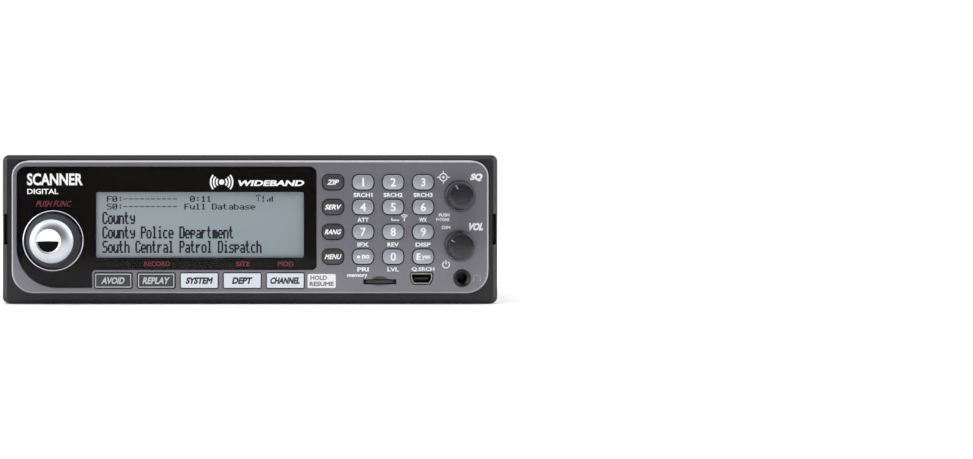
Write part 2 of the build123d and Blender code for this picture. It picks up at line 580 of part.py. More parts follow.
def make_speaker():
    """Loudspeaker under the top grille: basket, magnet and cone."""
    top = CASE_TOP - COVER_SHEET - 0.05
    plane = Plane(origin=(SPEAKER_X, FRONT_Y + SPEAKER_D, FACE_Z), x_dir=(1, 0, 0), z_dir=(0, -1, 0))
    axis = Axis((SPEAKER_X, FRONT_Y + SPEAKER_D, FACE_Z), (0, 0, 1))

    def spun(points):
        return revolve(plane * make_face(Polyline(*points, close=True)), axis=axis)

    basket = spun([(25.5, top), (SPEAKER_R, top), (SPEAKER_R, top - 1.2), (26.0, top - 1.2),
                   (15.5, top - 11.0), (0, top - 11.0), (0, top - 10.0), (15.0, top - 10.0)])
    magnet = spun([(0, top - 11.0), (14.0, top - 11.0), (14.0, top - 17.5), (0, top - 17.5)])
    cone = spun([(0, top - 7.0), (7.0, top - 8.0), (24.6, top - 0.6), (25.2, top - 0.6), (7.2, top - 8.7),
                 (0, top - 7.6)])
    return Compound(children=[basket, magnet, cone])


def make_ribbon_cable():
    """Flat cable from the back of the front board down to the main board."""
    top = MAIN_BOARD_TOP + 0.2
    start = BOARD_FRONT + BOARD_T + 2.25
    route = FilletPolyline((start, -8.0), (19.0, -8.0), (23.0, -13.0), (28.0, top), (37.0, top),
                           radius=[3.0, 3.0, 3.0])
    plane = Plane(origin=(-15.0, FRONT_Y, FACE_Z), x_dir=(0, 1, 0), z_dir=(1, 0, 0))
    return extrude(plane * trace(route, 0.3), amount=20.0)


# ---------------------------------------------------------------- rear sockets
def hexagon(across_flats):
    return RegularPolygon(across_flats / math.sqrt(3), 6)


def make_antenna_connector():
    """Bayonet antenna socket with its nut, two lugs, and the insulator in its mouth."""
    tip = CASE_BACK + BNC_REACH
    lugs = CASE_BACK + 6.0
    shell = rod(BNC_R, lugs + 1.05, tip, BNC_X, REAR_UP)
    shell = fillet(shell.faces().sort_by(Axis.Y)[-1].edges(), 0.3)
    shell += rod(BNC_NECK_R, CASE_BACK - 6, lugs + 1.1, BNC_X, REAR_UP)
    shell += slab(RectangleRounded(14.0, 14.0, 0.6), CASE_BACK - 14, CASE_BACK - SHEET - 0.05, BNC_X, REAR_UP)
    shell += slab(hexagon(12.7), CASE_BACK + 0.02, CASE_BACK + 2.6, BNC_X, REAR_UP)
    shell += crossways(1.0, BNC_X - BNC_R - 0.75, BNC_X + BNC_R + 0.75, lugs, REAR_UP)
    shell -= rod(4.05, CASE_BACK + 4.0, tip + 1, BNC_X, REAR_UP)
    core = turned([(0.7, CASE_BACK + 4.02), (2.35, CASE_BACK + 4.02), (2.35, tip - 0.6), (0.7, tip - 0.6)],
                  BNC_X, REAR_UP)
    return Compound(children=[shell, core])


def serial_outline(grow=0.0):
    """The D shape of a nine-way connector."""
    points = [(-7.4, -4.15), (7.4, -4.15), (8.6, 4.15), (-8.6, 4.15)]
    return outline(points, [2.4, 2.4, 2.4, 2.4], grow)


def make_serial_port():
    """Nine-way data connector: flange with D-shaped shell, moulding with pins, two jackscrews."""
    face = CASE_BACK + 0.02
    shell = slab(RectangleRounded(30.8, 12.5, 1.5), face, face + 0.8, SERIAL_X, REAR_UP)
    shell += slab(serial_outline(), face, face + 6.0, SERIAL_X, REAR_UP)
    shell -= slab(serial_outline(-0.45), face - 1, face + 7.0, SERIAL_X, REAR_UP)
    for side in (-1, 1):
        shell -= rod(1.55, face - 1, face + 2, SERIAL_X + side * JACKSCREW_HALF, REAR_UP)
    body = slab(RectangleRounded(17.6, 9.4, 1.8), CASE_BACK - 10, face, SERIAL_X, REAR_UP)
    body += slab(serial_outline(-0.5), face - 0.1, face + 1.2, SERIAL_X, REAR_UP)
    pins = []
    for row, count in ((1.42, 5), (-1.42, 4)):
        for i in range(count):
            x = SERIAL_X + (i - (count - 1) / 2) * 2.76
            pins.append(rod(0.5, face + 1.2, face + 5.4, x, REAR_UP + row))
    screws = []
    for side in (-1, 1):
        x = SERIAL_X + side * JACKSCREW_HALF
        post = slab(hexagon(4.8), face + 0.8, face + 5.6, x, REAR_UP)
        post += rod(1.5, CASE_BACK - 5, face + 1, x, REAR_UP)
        screws.append(post - rod(1.2, face + 1.4, face + 7, x, REAR_UP))
    return Compound(children=[shell, body, *pins, *screws])


def make_host_port():
    """Full-size USB socket for the network adapter: metal shell and contact tongue."""
    back, tip = CASE_BACK - 13.0, CASE_BACK + 0.6
    shell = slab(RectangleRounded(13.1, 5.7, 0.4), back, tip, HOST_X, HOST_UP)
    shell -= slab(RectangleRounded(12.4, 5.0, 0.2), back + 1.0, tip + 1, HOST_X, HOST_UP)
    tongue = box(HOST_X - 5.6, HOST_X + 5.6, back + 1.02, tip - 1.2, HOST_UP + 0.3, HOST_UP + 2.0)
    return Compound(children=[shell, tongue])


def make_power_jack():
    """Barrel power socket: moulded body with a round mouth, and the centre pin."""
    tip = CASE_BACK + 0.9
    left, right = POWER_X - 4.5, POWER_X + 4.5
    body = box(left, right, CASE_BACK - 13, CASE_BACK - SHEET - 0.05, POWER_UP - 5.5, POWER_UP + 5.0)
    body += rod(4.2, CASE_BACK - 3, tip, POWER_X, POWER_UP)
    body -= rod(2.9, CASE_BACK - 10.5, tip + 1, POWER_X, POWER_UP)
    pin = rod(1.05, CASE_BACK - 10.48, CASE_BACK - 0.8, POWER_X, POWER_UP)
    pin = fillet(pin.faces().sort_by(Axis.Y)[-1].edges(), 0.4)
    return Compound(children=[body, pin])


def make_audio_jacks():
    """The external speaker and recording sockets, each with a knurled ring nut."""
    jacks = []
    for x in AUDIO_XS:
        body = box(x - 4.5, x + 4.5, CASE_BACK - 15, CASE_BACK - SHEET - 0.05, AUDIO_UP - 4.0, AUDIO_UP + 4.0)
        body += rod(3.0, CASE_BACK - 3, CASE_BACK + 2.2, x, AUDIO_UP)
        nut = rod(4.3, CASE_BACK + 0.02, CASE_BACK + 1.8, x, AUDIO_UP)
        body += chamfer(nut.faces().sort_by(Axis.Y)[-1].edges(), 0.3)
        jacks.append(body - rod(PLUG_R, CASE_BACK - 12, CASE_BACK + 3, x, AUDIO_UP))
    return Compound(children=jacks)


# ---------------------------------------------------------------- feet and fasteners
def make_rubber_feet():
    feet = []
    for x in (-70.0, 70.0):
        for d in (30.0, 126.0):
            plane = Plane(origin=(x, FRONT_Y + d, 0))
            foot = extrude(plane * Circle(6.0), amount=FOOT_H, taper=-8)
            feet.append(fillet(foot.faces().sort_by(Axis.Z)[0].edges(), 0.6))
    return Compound(children=feet)


def screw():
    """One pan-head screw along local Z: head above the origin, shank below, cross recess."""
    head = extrude(Circle(SCREW_HEAD_R), amount=SCREW_HEAD_H)
    head = fillet(head.faces().sort_by(Axis.Z)[-1].edges(), 0.9)
    shank = Pos(0, 0, -SCREW_LEN / 2 + 0.1) * Cylinder(SCREW_R, SCREW_LEN)
    recess = Rectangle(2.8, 0.55) + Rectangle(0.55, 2.8)
    return head + shank - Pos(0, 0, SCREW_HEAD_H - 1.0) * extrude(recess, amount=2)


def make_screws():
    """Every screw of the radio; they are all the same."""
    places = []
    for x, h in FRONT_BOSSES:
        places.append(((x, BOARD_FRONT + BOARD_T + 0.02, h), (0, 1, 0)))
    for x, d in MAIN_STANDOFFS:
        places.append(((x, d, MAIN_BOARD_TOP + 0.02), (0, 0, 1)))
    for side in (-1, 1):
        for h in NOSE_SCREW_UPS:
            places.append(((side * (PANEL_W / 2 + 0.02), NOSE_SCREW_D, h), (side, 0, 0)))
        for d, h in COVER_SIDE_SCREWS:
            places.append(((side * (COVER_HALF_W + 0.02), d, h), (side, 0, 0)))
    for x in COVER_REAR_SCREWS:
        places.append(((x, CASE_BACK + COVER_SHEET + 0.02, 20.0), (0, 1, 0)))
    one = screw()
    screws = []
    for (x, d, h), direction in places:
        spot = Plane(origin=(x, FRONT_Y + d, FACE_Z + h), z_dir=direction)
        screws.append(spot.location * one)
    return Compound(children=screws)


# ---------------------------------------------------------------- all the pieces
def make_all():
    pieces = {
        "trim_bezel": make_trim_bezel(),
        "front_panel": make_front_panel(),
        "display_lens": make_display_lens(),
        "lens_mask": make_lens_mask(),
        "knob_ring": make_knob_ring(),
        "lcd_panel": make_lcd_panel(),
        "lcd_backlight": make_lcd_backlight(),
        "keypad_mat": make_keypad_mat(),
        "front_board": make_front_board(),
        "scroll_encoder": make_control_body(12.4, 13.2, LENS_FLOOR - 0.6, SCROLL_X, SCROLL_UP),
        "rotary_pots": Compound(children=[
            make_control_body(10.4, 11.0, PANEL_FACE + 0.3, POT_X, h) for h in (SQUELCH_UP, VOLUME_UP)
        ]),
        "headphone_jack": make_headphone_jack(),
        "usb_port": make_usb_port(),
        "card_socket": make_card_socket(),
        "memory_card": make_memory_card(),
        "socket_board": make_socket_board(),
        "scroll_knob": make_scroll_knob(),
        "scroll_cap": make_scroll_cap(),
        "chassis": make_chassis(),
        "top_cover": make_top_cover(),
        "main_board": make_main_board(),
        "shield_cans": make_shield_cans(),
        "speaker": make_speaker(),
        "ribbon_cable": make_ribbon_cable(),
        "antenna_connector": make_antenna_connector(),
        "serial_port": make_serial_port(),
        "host_port": make_host_port(),
        "power_jack": make_power_jack(),
        "audio_jacks": make_audio_jacks(),
        "rubber_feet": make_rubber_feet(),
        "screws": make_screws(),
    }
    controls = [
        ("scroll", SCROLL_X, SCROLL_UP, PANEL_FACE - SCROLL_PROUD + 4.0),
        ("squelch", POT_X, SQUELCH_UP, PANEL_FACE - POT_PROUD + 2.4),
        ("volume", POT_X, VOLUME_UP, PANEL_FACE - POT_PROUD + 2.4),
    ]
    for name, x, h, tip in controls:
        pieces[name + "_shaft"] = make_shaft(tip, x, h)
        pieces[name + "_plunger"] = make_plunger(x, h)
    pieces["squelch_knob"] = make_small_knob(SQUELCH_UP, SQUELCH_POINTER)
    pieces["volume_knob"] = make_small_knob(VOLUME_UP, VOLUME_POINTER)
    for name, x, h in pad_key_places():
        pieces[name] = make_key(PAD_W, PAD_H, PAD_R, PAD_PROUD, x, h, crown=16.0)
    for name, x, h in bar_key_places():
        pieces[name] = make_key(BAR_W, BAR_H, BAR_R, BAR_PROUD, x, h)
    return pieces


os.makedirs("parts", exist_ok=True)
for node, shape in make_all().items():
    export_step(shape, f"parts/{node}.step")
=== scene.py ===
"""Looks of the mobile police scanner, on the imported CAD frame.

Lengths are in metres in the row frame: +Z up, +X to the user's right, the front facing -Y. On the
front, a place is (x, h): right of the middle of the trim bezel, and above it.
"""

import json
import math

import bmesh
import bpy
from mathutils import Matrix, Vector


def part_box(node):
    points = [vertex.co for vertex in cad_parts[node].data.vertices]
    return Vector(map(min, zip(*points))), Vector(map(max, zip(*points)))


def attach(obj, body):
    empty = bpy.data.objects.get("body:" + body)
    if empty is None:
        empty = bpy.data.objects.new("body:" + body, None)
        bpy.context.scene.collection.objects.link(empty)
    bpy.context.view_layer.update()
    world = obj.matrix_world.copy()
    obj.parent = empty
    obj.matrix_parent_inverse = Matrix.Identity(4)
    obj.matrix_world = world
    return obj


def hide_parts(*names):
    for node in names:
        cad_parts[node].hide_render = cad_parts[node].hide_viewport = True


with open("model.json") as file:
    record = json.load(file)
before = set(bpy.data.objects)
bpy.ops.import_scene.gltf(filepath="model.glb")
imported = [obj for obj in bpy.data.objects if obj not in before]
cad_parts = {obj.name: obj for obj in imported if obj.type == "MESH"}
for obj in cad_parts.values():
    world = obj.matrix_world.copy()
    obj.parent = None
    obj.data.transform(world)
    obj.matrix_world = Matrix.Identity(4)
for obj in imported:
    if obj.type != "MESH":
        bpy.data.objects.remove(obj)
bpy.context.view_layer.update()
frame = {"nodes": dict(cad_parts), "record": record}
nodes = frame["nodes"]

MM = 0.001
CASE = "radio"
bezel_low, bezel_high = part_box("trim_bezel")
FACE = (bezel_low + bezel_high) / 2
PANEL_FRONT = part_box("front_panel")[0].y
LENS_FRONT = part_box("display_lens")[0].y
INK = 0.02 * MM


# ------------------------------------------------------------------ materials
def colour(red, green, blue):
    """Linear colour from 0 to 255 display values."""

    def linear(value):
        value /= 255
        return value / 12.92 if value <= 0.04045 else ((value + 0.055) / 1.055) ** 2.4

    return (linear(red), linear(green), linear(blue), 1.0)


def shaded(tone, share):
    """A tone made lighter or darker by a share of itself."""
    return tuple(min(1.0, c * (1 + share)) for c in tone[:3]) + (1.0,)


class Surface:
    """A material under construction: its node tree, its shader and its object coordinates."""

    def __init__(self, name):
        self.material = bpy.data.materials.new(name)
        self.material.use_nodes = True
        self.tree = self.material.node_tree
        self.shader = self.tree.nodes["Principled BSDF"]
        self.place = self.node("ShaderNodeTexCoord").outputs["Object"]

    def node(self, kind, **settings):
        made = self.tree.nodes.new(kind)
        for key, value in settings.items():
            setattr(made, key, value)
        return made

    def link(self, output, socket):
        self.tree.links.new(output, socket)

    def noise(self, size, detail=2.0, roughness=0.5, stretch=(1, 1, 1)):
        """Noise whose features are about size across, drawn out by stretch."""
        mapping = self.node("ShaderNodeMapping")
        mapping.inputs["Scale"].default_value = [1 / (size * s) for s in stretch]
        texture = self.node("ShaderNodeTexNoise")
        texture.inputs["Scale"].default_value = 1.0
        texture.inputs["Detail"].default_value = detail
        texture.inputs["Roughness"].default_value = roughness
        self.link(self.place, mapping.inputs["Vector"])
        self.link(mapping.outputs["Vector"], texture.inputs["Vector"])
        return texture.outputs["Fac"]

    def spread(self, source, low, high, start=0.3, end=0.7):
        """The source from start to end, mapped to low to high."""
        made = self.node("ShaderNodeMapRange")
        for key, value in (("From Min", start), ("From Max", end), ("To Min", low), ("To Max", high)):
            made.inputs[key].default_value = value
        self.link(source, made.inputs["Value"])
        return made.outputs["Result"]

    def blend(self, factor, first, second):
        """A colour between two colours or sockets."""
        made = self.node("ShaderNodeMix", data_type="RGBA")
        self.link(factor, made.inputs["Factor"])
        for value, socket in ((first, made.inputs[6]), (second, made.inputs[7])):
            if isinstance(value, bpy.types.NodeSocket):
                self.link(value, socket)
            else:
                socket.default_value = value
        return made.outputs[2]

    def near_rim(self, node, reach, depth):
        """1 within reach of a node's left, right, top and bottom and depth of its front, else 0."""
        low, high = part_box(node)
        place = self.node("ShaderNodeSeparateXYZ")
        self.link(self.place, place.inputs["Vector"])
        front = self.spread(place.outputs["Y"], 1, 0, low.y + depth, low.y + depth + 0.2 * MM)
        away = self.node("ShaderNodeVectorMath", operation="SUBTRACT")
        away.inputs[1].default_value = (low + high) / 2
        self.link(self.place, away.inputs[0])
        size = self.node("ShaderNodeVectorMath", operation="ABSOLUTE")
        self.link(away.outputs["Vector"], size.inputs[0])
        split = self.node("ShaderNodeSeparateXYZ")
        self.link(size.outputs["Vector"], split.inputs["Vector"])
        inner = (high - low) / 2 - Vector((reach, 0, reach))
        fade = 0.2 * MM
        either = self.node("ShaderNodeMath", operation="MAXIMUM")
        self.link(self.spread(split.outputs["X"], 0, 1, inner.x, inner.x + fade), either.inputs[0])
        self.link(self.spread(split.outputs["Z"], 0, 1, inner.z, inner.z + fade), either.inputs[1])
        both = self.node("ShaderNodeMath", operation="MULTIPLY")
        self.link(either.outputs["Value"], both.inputs[0])
        self.link(front, both.inputs[1])
        return both.outputs["Value"]

    def bump(self, height, depth):
        made = self.node("ShaderNodeBump")
        made.inputs["Strength"].default_value = 1.0
        made.inputs["Distance"].default_value = depth
        self.link(height, made.inputs["Height"])
        self.link(made.outputs["Normal"], self.shader.inputs["Normal"])


def finish(
    name,
    tone,
    rough,
    metal=0.0,
    mottle=0.06,
    mottle_size=3 * MM,
    stretch=(1, 1, 1),
    grain=0.0,
    grain_size=0.12 * MM,
    smudge=0.05,
    dust=0.0,
    coat=0.0,
    gloss=0.5,
):
    """A solid surface: mottled colour, smudged roughness, a moulded or brushed grain, and dust."""
    surface = Surface(name)
    shader = surface.shader
    shader.inputs["Metallic"].default_value = metal
    shader.inputs["Coat Weight"].default_value = coat
    shader.inputs["Coat Roughness"].default_value = 0.08
    shader.inputs["Specular IOR Level"].default_value = gloss
    patches = surface.noise(mottle_size, 3.0, 0.6, stretch)
    body = surface.blend(surface.spread(patches, 0, 1), shaded(tone, -mottle), shaded(tone, mottle))
    if dust:
        specks = surface.spread(surface.noise(0.5 * MM, 4.0, 0.7), 0, dust, 0.58, 0.8)
        body = surface.blend(specks, body, colour(170, 168, 162))
    surface.link(body, shader.inputs["Base Color"])
    worn = surface.noise(9 * MM, 4.0, 0.65, stretch)
    surface.link(surface.spread(worn, rough - smudge, rough + smudge), shader.inputs["Roughness"])
    if grain:
        surface.bump(surface.noise(grain_size, 2.0, 0.6, stretch), grain)
    return surface.material


def metallic_paint(name, tone, rough, flake=0.16, metal=0.55, coat=0.2, rim_highlight=0.0):
    """Paint with fine flakes; on the front panel's edge fillet, where it turns away from the front, a painted
    highlight makes it paler by the given share.
    """
    surface = Surface(name)
    shader = surface.shader
    flakes = surface.node("ShaderNodeTexVoronoi", feature="F1")
    flakes.inputs["Scale"].default_value = 1 / (0.16 * MM)
    surface.link(surface.place, flakes.inputs["Vector"])
    split = surface.node("ShaderNodeSeparateColor")
    surface.link(flakes.outputs["Color"], split.inputs["Color"])
    sparkle = surface.blend(split.outputs["Red"], shaded(tone, -flake), shaded(tone, flake))
    drift = surface.spread(surface.noise(25 * MM, 2.0), 0, 1)
    body = surface.blend(drift, sparkle, shaded(tone, 0.05))
    # Painted highlight: a paler tone on the front panel's edge fillet, where its normal turns away from the
    # front.
    if rim_highlight:
        facing = surface.node("ShaderNodeSeparateXYZ")
        surface.link(surface.node("ShaderNodeTexCoord").outputs["Normal"], facing.inputs["Vector"])
        turned_away = surface.spread(facing.outputs["Y"], 0, 1, -0.97, -0.85)
        outer = surface.node("ShaderNodeMath", operation="MULTIPLY")
        surface.link(turned_away, outer.inputs[0])
        surface.link(surface.near_rim("front_panel", 3.2 * MM, 1.0 * MM), outer.inputs[1])
        body = surface.blend(outer.outputs["Value"], body, shaded(tone, rim_highlight))
    surface.link(body, shader.inputs["Base Color"])
    shader.inputs["Metallic"].default_value = metal
    shader.inputs["Coat Weight"].default_value = coat
    shader.inputs["Coat Roughness"].default_value = 0.12
    worn = surface.spread(surface.noise(6 * MM, 4.0), rough - 0.04, rough + 0.04)
    surface.link(worn, shader.inputs["Roughness"])
    surface.bump(surface.noise(0.1 * MM, 2.0), 0.002 * MM)
    return surface.material


def lipped_socket(name, node):
    """A plated socket whose mouth is dark behind a bright lip: painted shade colours the inside dark and less
    metallic past the lip.
    """
    surface = Surface(name)
    shader = surface.shader
    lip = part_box(node)[0].y
    split = surface.node("ShaderNodeSeparateXYZ")
    surface.link(surface.place, split.inputs["Vector"])
    # Painted shade: deeper than the lip, the socket is coloured dark as if in shadow.
    inside = surface.spread(split.outputs["Y"], 0, 1, lip + 0.1 * MM, lip + 0.5 * MM)
    tarnish = surface.spread(surface.noise(1.5 * MM, 4.0), 0, 1)
    plating = surface.blend(tarnish, colour(170, 168, 164), colour(196, 194, 190))
    surface.link(surface.blend(inside, plating, colour(40, 38, 38)), shader.inputs["Base Color"])
    surface.link(surface.spread(inside, 0.9, 0.3, 0, 1), shader.inputs["Metallic"])
    surface.link(surface.spread(surface.noise(4 * MM), 0.28, 0.36), shader.inputs["Roughness"])
    surface.bump(surface.noise(0.12 * MM), 0.003 * MM)
    return surface.material


def turned_metal(name, tone, rough, centre, depth=0.0012 * MM):
    """Metal with fine turning marks in circles round an axis along Y through centre."""
    surface = Surface(name)
    shader = surface.shader
    shader.inputs["Metallic"].default_value = 1.0
    mapping = surface.node("ShaderNodeMapping")
    mapping.inputs["Location"].default_value = (-centre.x, -centre.y, -centre.z)
    surface.link(surface.place, mapping.inputs["Vector"])
    rings = surface.node("ShaderNodeTexWave", wave_type="RINGS", rings_direction="Y")
    rings.inputs["Scale"].default_value = 1 / (0.9 * MM)
    rings.inputs["Distortion"].default_value = 1.5
    rings.inputs["Detail"].default_value = 3.0
    surface.link(mapping.outputs["Vector"], rings.inputs["Vector"])
    tarnish = surface.spread(surface.noise(3 * MM, 4.0, 0.65), 0, 1)
    surface.link(surface.blend(tarnish, shaded(tone, -0.05), shaded(tone, 0.04)), shader.inputs["Base Color"])
    polish = surface.spread(rings.outputs["Fac"], rough - 0.03, rough + 0.05, 0, 1)
    surface.link(polish, shader.inputs["Roughness"])
    surface.bump(rings.outputs["Fac"], depth)
    return surface.material


def clear_lens(name):
    """A thin clear window: it mirrors by Fresnel on its outer side and passes light straight on."""
    surface = Surface(name)
    tree = surface.tree
    tree.nodes.remove(surface.shader)
    through = surface.node("ShaderNodeBsdfTransparent")
    through.inputs["Color"].default_value = (0.93, 0.94, 0.95, 1)
    gloss = surface.node("ShaderNodeBsdfGlossy")
    gloss.inputs["Color"].default_value = (1, 1, 1, 1)
    smudges = surface.noise(14 * MM, 5.0, 0.7)
    surface.link(surface.spread(smudges, 0.03, 0.09), gloss.inputs["Roughness"])
    fresnel = surface.node("ShaderNodeFresnel")
    fresnel.inputs["IOR"].default_value = 1.22
    inside = surface.node("ShaderNodeNewGeometry")
    outside = surface.node("ShaderNodeMath", operation="SUBTRACT")
    outside.inputs[0].default_value = 1.0
    surface.link(inside.outputs["Backfacing"], outside.inputs[1])
    share = surface.node("ShaderNodeMath", operation="MULTIPLY")
    surface.link(fresnel.outputs["Fac"], share.inputs[0])
    surface.link(outside.outputs["Value"], share.inputs[1])
    mix = surface.node("ShaderNodeMixShader")
    surface.link(share.outputs["Value"], mix.inputs["Fac"])
    surface.link(through.outputs["BSDF"], mix.inputs[1])
    surface.link(gloss.outputs["BSDF"], mix.inputs[2])
    surface.link(mix.outputs["Shader"], tree.nodes["Material Output"].inputs["Surface"])
    return surface.material


def display_grey(name):
    """The unlit ground of the display: greenish grey with its faint pixel grid, and painted shade that
    darkens it to the right.
    """
    surface = Surface(name)
    shader = surface.shader
    low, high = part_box("lcd_panel")
    split = surface.node("ShaderNodeSeparateXYZ")
    surface.link(surface.place, split.inputs["Vector"])
    # Painted shade: the ground turns darker from left to right.
    across = surface.spread(split.outputs["X"], 0, 1, low.x, high.x)
    ground = surface.blend(across, colour(178, 185, 187), colour(165, 177, 179))
    grid = surface.node("ShaderNodeTexBrick", offset=0.0)
    grid.inputs["Scale"].default_value = 1.0
    grid.inputs["Mortar Size"].default_value = 0.02 * MM
    grid.inputs["Brick Width"].default_value = 0.343 * MM
    grid.inputs["Row Height"].default_value = 0.328 * MM
    upright = surface.node("ShaderNodeCombineXYZ")
    surface.link(split.outputs["X"], upright.inputs["X"])
    surface.link(split.outputs["Z"], upright.inputs["Y"])
    surface.link(upright.outputs["Vector"], grid.inputs["Vector"])
    lines = surface.spread(grid.outputs["Fac"], 0, 0.25, 0, 1)
    surface.link(surface.blend(lines, ground, colour(120, 128, 130)), shader.inputs["Base Color"])
    surface.link(surface.spread(surface.noise(5 * MM), 0.3, 0.4), shader.inputs["Roughness"])
    return surface.material


def circuit(name):
    """Green solder mask with copper tracks showing through as paler lines."""
    surface = Surface(name)
    shader = surface.shader
    cells = surface.node("ShaderNodeTexVoronoi", feature="F2", distance="MANHATTAN")
    cells.inputs["Scale"].default_value = 1 / (3.5 * MM)
    surface.link(surface.place, cells.inputs["Vector"])
    tracks = surface.spread(cells.outputs["Distance"], 0, 1, 0.48, 0.56)
    surface.link(surface.blend(tracks, colour(18, 74, 40), colour(40, 112, 66)), shader.inputs["Base Color"])
    surface.link(surface.spread(surface.noise(4 * MM), 0.25, 0.4), shader.inputs["Roughness"])
    surface.bump(tracks, 0.03 * MM)
    return surface.material


KNOB_AXIS = (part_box("scroll_knob")[0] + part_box("scroll_knob")[1]) / 2
BRUSHED = (1, 12, 1)
finishes = {
    "black_plastic": finish("black_plastic", colour(27, 25, 27), 0.36, grain=0.01 * MM, dust=0.02),
    "silver_paint": metallic_paint(
        "silver_paint", colour(114, 113, 121), 0.32, metal=0.25, coat=1.0, rim_highlight=1.2
    ),
    "clear_lens": clear_lens("clear_lens"),
    "black_film": finish("black_film", colour(22, 19, 17), 0.35, mottle=0.1, smudge=0.03, gloss=0.08),
    "bright_ring": turned_metal("bright_ring", colour(196, 196, 204), 0.2, KNOB_AXIS),
    "display_glass": display_grey("display_glass"),
    "white_plastic": finish("white_plastic", colour(222, 220, 214), 0.45, grain=0.006 * MM),
    "grey_silicone": finish("grey_silicone", colour(150, 150, 152), 0.6, grain=0.01 * MM),
    "circuit_board": circuit("circuit_board"),
    "dull_metal": finish(
        "dull_metal", colour(176, 176, 174), 0.38, metal=1.0, stretch=BRUSHED, grain=0.004 * MM
    ),
    "nickel": finish(
        "nickel", colour(196, 190, 180), 0.27, metal=1.0, grain=0.003 * MM, mottle_size=1.5 * MM
    ),
    "card_plastic": finish("card_plastic", colour(62, 62, 66), 0.4, grain=0.006 * MM),
    "dark_knob": finish("dark_knob", colour(38, 38, 42), 0.24, grain=0.004 * MM, grain_size=0.18 * MM),
    "polished_cap": turned_metal("polished_cap", colour(196, 200, 206), 0.4, KNOB_AXIS),
    "black_steel": finish(
        "black_steel", colour(36, 36, 38), 0.5, grain=0.03 * MM, grain_size=0.5 * MM, dust=0.06
    ),
    "tinned_steel": finish(
        "tinned_steel", colour(190, 190, 186), 0.32, metal=1.0, mottle_size=8 * MM, mottle=0.12
    ),
    "speaker_black": finish(
        "speaker_black", colour(34, 34, 35), 0.6, grain=0.05 * MM, grain_size=0.8 * MM
    ),
    "ribbon_grey": finish(
        "ribbon_grey", colour(170, 170, 172), 0.45, mottle_size=1 * MM, stretch=(1, 30, 30)
    ),
    "socket_black": finish("socket_black", colour(30, 30, 31), 0.38, grain=0.01 * MM),
    "foot_rubber": finish(
        "foot_rubber", colour(32, 32, 32), 0.75, grain=0.03 * MM, grain_size=0.4 * MM, dust=0.12
    ),
    "screw_black": finish("screw_black", colour(64, 62, 60), 0.34, metal=0.9, grain=0.005 * MM),
    "dark_key": finish("dark_key", colour(60, 60, 62), 0.4, grain=0.008 * MM),
    "grey_key": metallic_paint("grey_key", colour(160, 163, 170), 0.32, flake=0.1, metal=0.3),
    "silver_key": metallic_paint("silver_key", colour(216, 222, 231), 0.3, flake=0.05, metal=0.1),
}
inks = {
    "white_ink": finish("white_ink", colour(238, 238, 238), 0.5, mottle=0.03, mottle_size=0.4 * MM),
    "silver_ink": finish("silver_ink", colour(196, 197, 204), 0.4, mottle=0.04, mottle_size=0.4 * MM),
    "grey_ink": finish("grey_ink", colour(150, 152, 162), 0.5, mottle=0.03, mottle_size=0.4 * MM),
    "red_ink": finish("red_ink", colour(116, 42, 48), 0.5, mottle=0.06, mottle_size=0.4 * MM),
    "dark_ink": finish("dark_ink", colour(44, 44, 50), 0.5, mottle=0.05, mottle_size=0.4 * MM),
    "lcd_ink": finish("lcd_ink", colour(14, 15, 16), 0.5, mottle=0.05, mottle_size=0.4 * MM),
}
skirt_grey = finish("skirt_grey", colour(66, 67, 74), 0.42, metal=0.3, grain=0.004 * MM)
usb_metal_painted_shade = lipped_socket("usb_metal_painted_shade", "usb_port")
mirror = turned_metal("mirror_dish", colour(238, 238, 240), 0.05, KNOB_AXIS, depth=0.0001 * MM)


# ------------------------------------------------------------------ meshes
def piece_from(name, points, faces, material, body, smooth=30):
    """A mesh object with outward normals, smooth except at edges sharper than smooth degrees."""
    mesh = bpy.data.meshes.new(name)
    mesh.from_pydata([tuple(p) for p in points], [], faces)
    work = bmesh.new()
    work.from_mesh(mesh)
    bmesh.ops.recalc_face_normals(work, faces=work.faces)
    work.to_mesh(mesh)
    work.free()
    mesh.shade_smooth()
    mesh.set_sharp_from_angle(angle=math.radians(smooth))
    mesh.materials.append(material)
    piece = bpy.data.objects.new(name, mesh)
    bpy.context.scene.collection.objects.link(piece)
    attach(piece, body)
    return piece


def loft(rings):
    """Points and faces of a closed skin over rings that all have the same number of points."""
    count = len(rings[0])
    points = [point for ring in rings for point in ring]
    faces = [tuple(range(count)), tuple(range(len(points) - count, len(points)))]
    for r in range(len(rings) - 1):
        for i in range(count):
            j = (i + 1) % count
            faces.append((r * count + i, r * count + j, (r + 1) * count + j, (r + 1) * count + i))
    return points, faces


def rounded_rectangle(width, height, corner, steps=10):
    """Points (x, h) round a rectangle with rounded corners; a circle if corner is half of both."""
    points = []
    for turn in range(4):
        side_x = (width / 2 - corner) * (1, -1, -1, 1)[turn]
        side_h = (height / 2 - corner) * (1, 1, -1, -1)[turn]
        for step in range(steps + 1):
            angle = math.radians(90 * turn + 90 * step / steps)
            points.append((side_x + corner * math.cos(angle), side_h + corner * math.sin(angle)))
    return points


def circle(radius, steps=96):
    angles = [2 * math.pi * i / steps for i in range(steps)]
    return [(radius * math.cos(angle), radius * math.sin(angle)) for angle in angles]


def softened(profile, radii, steps=6):
    """The profile with each inner corner rounded off by its radius."""
    points = [profile[0]]
    for before, corner, after, radius in zip(profile, profile[1:], profile[2:], radii):
        here = Vector(corner)
        if not radius:
            points.append(corner)
            continue
        start = here + (Vector(before) - here).normalized() * radius
        end = here + (Vector(after) - here).normalized() * radius
        for step in range(steps + 1):
            t = step / steps
            spot = start * (1 - t) ** 2 + here * 2 * t * (1 - t) + end * t**2
            points.append(tuple(spot))
    return points + [profile[-1]]


def turned(profile, x, h, steps=96):
    """Rings of a turned piece: profile is (radius, y) from one end to the other."""
    return [[(x + u, y, FACE.z + h + v) for u, v in circle(radius, steps)] for radius, y in profile]


def middle(node):
    low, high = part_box(node)
    return (low + high) / 2


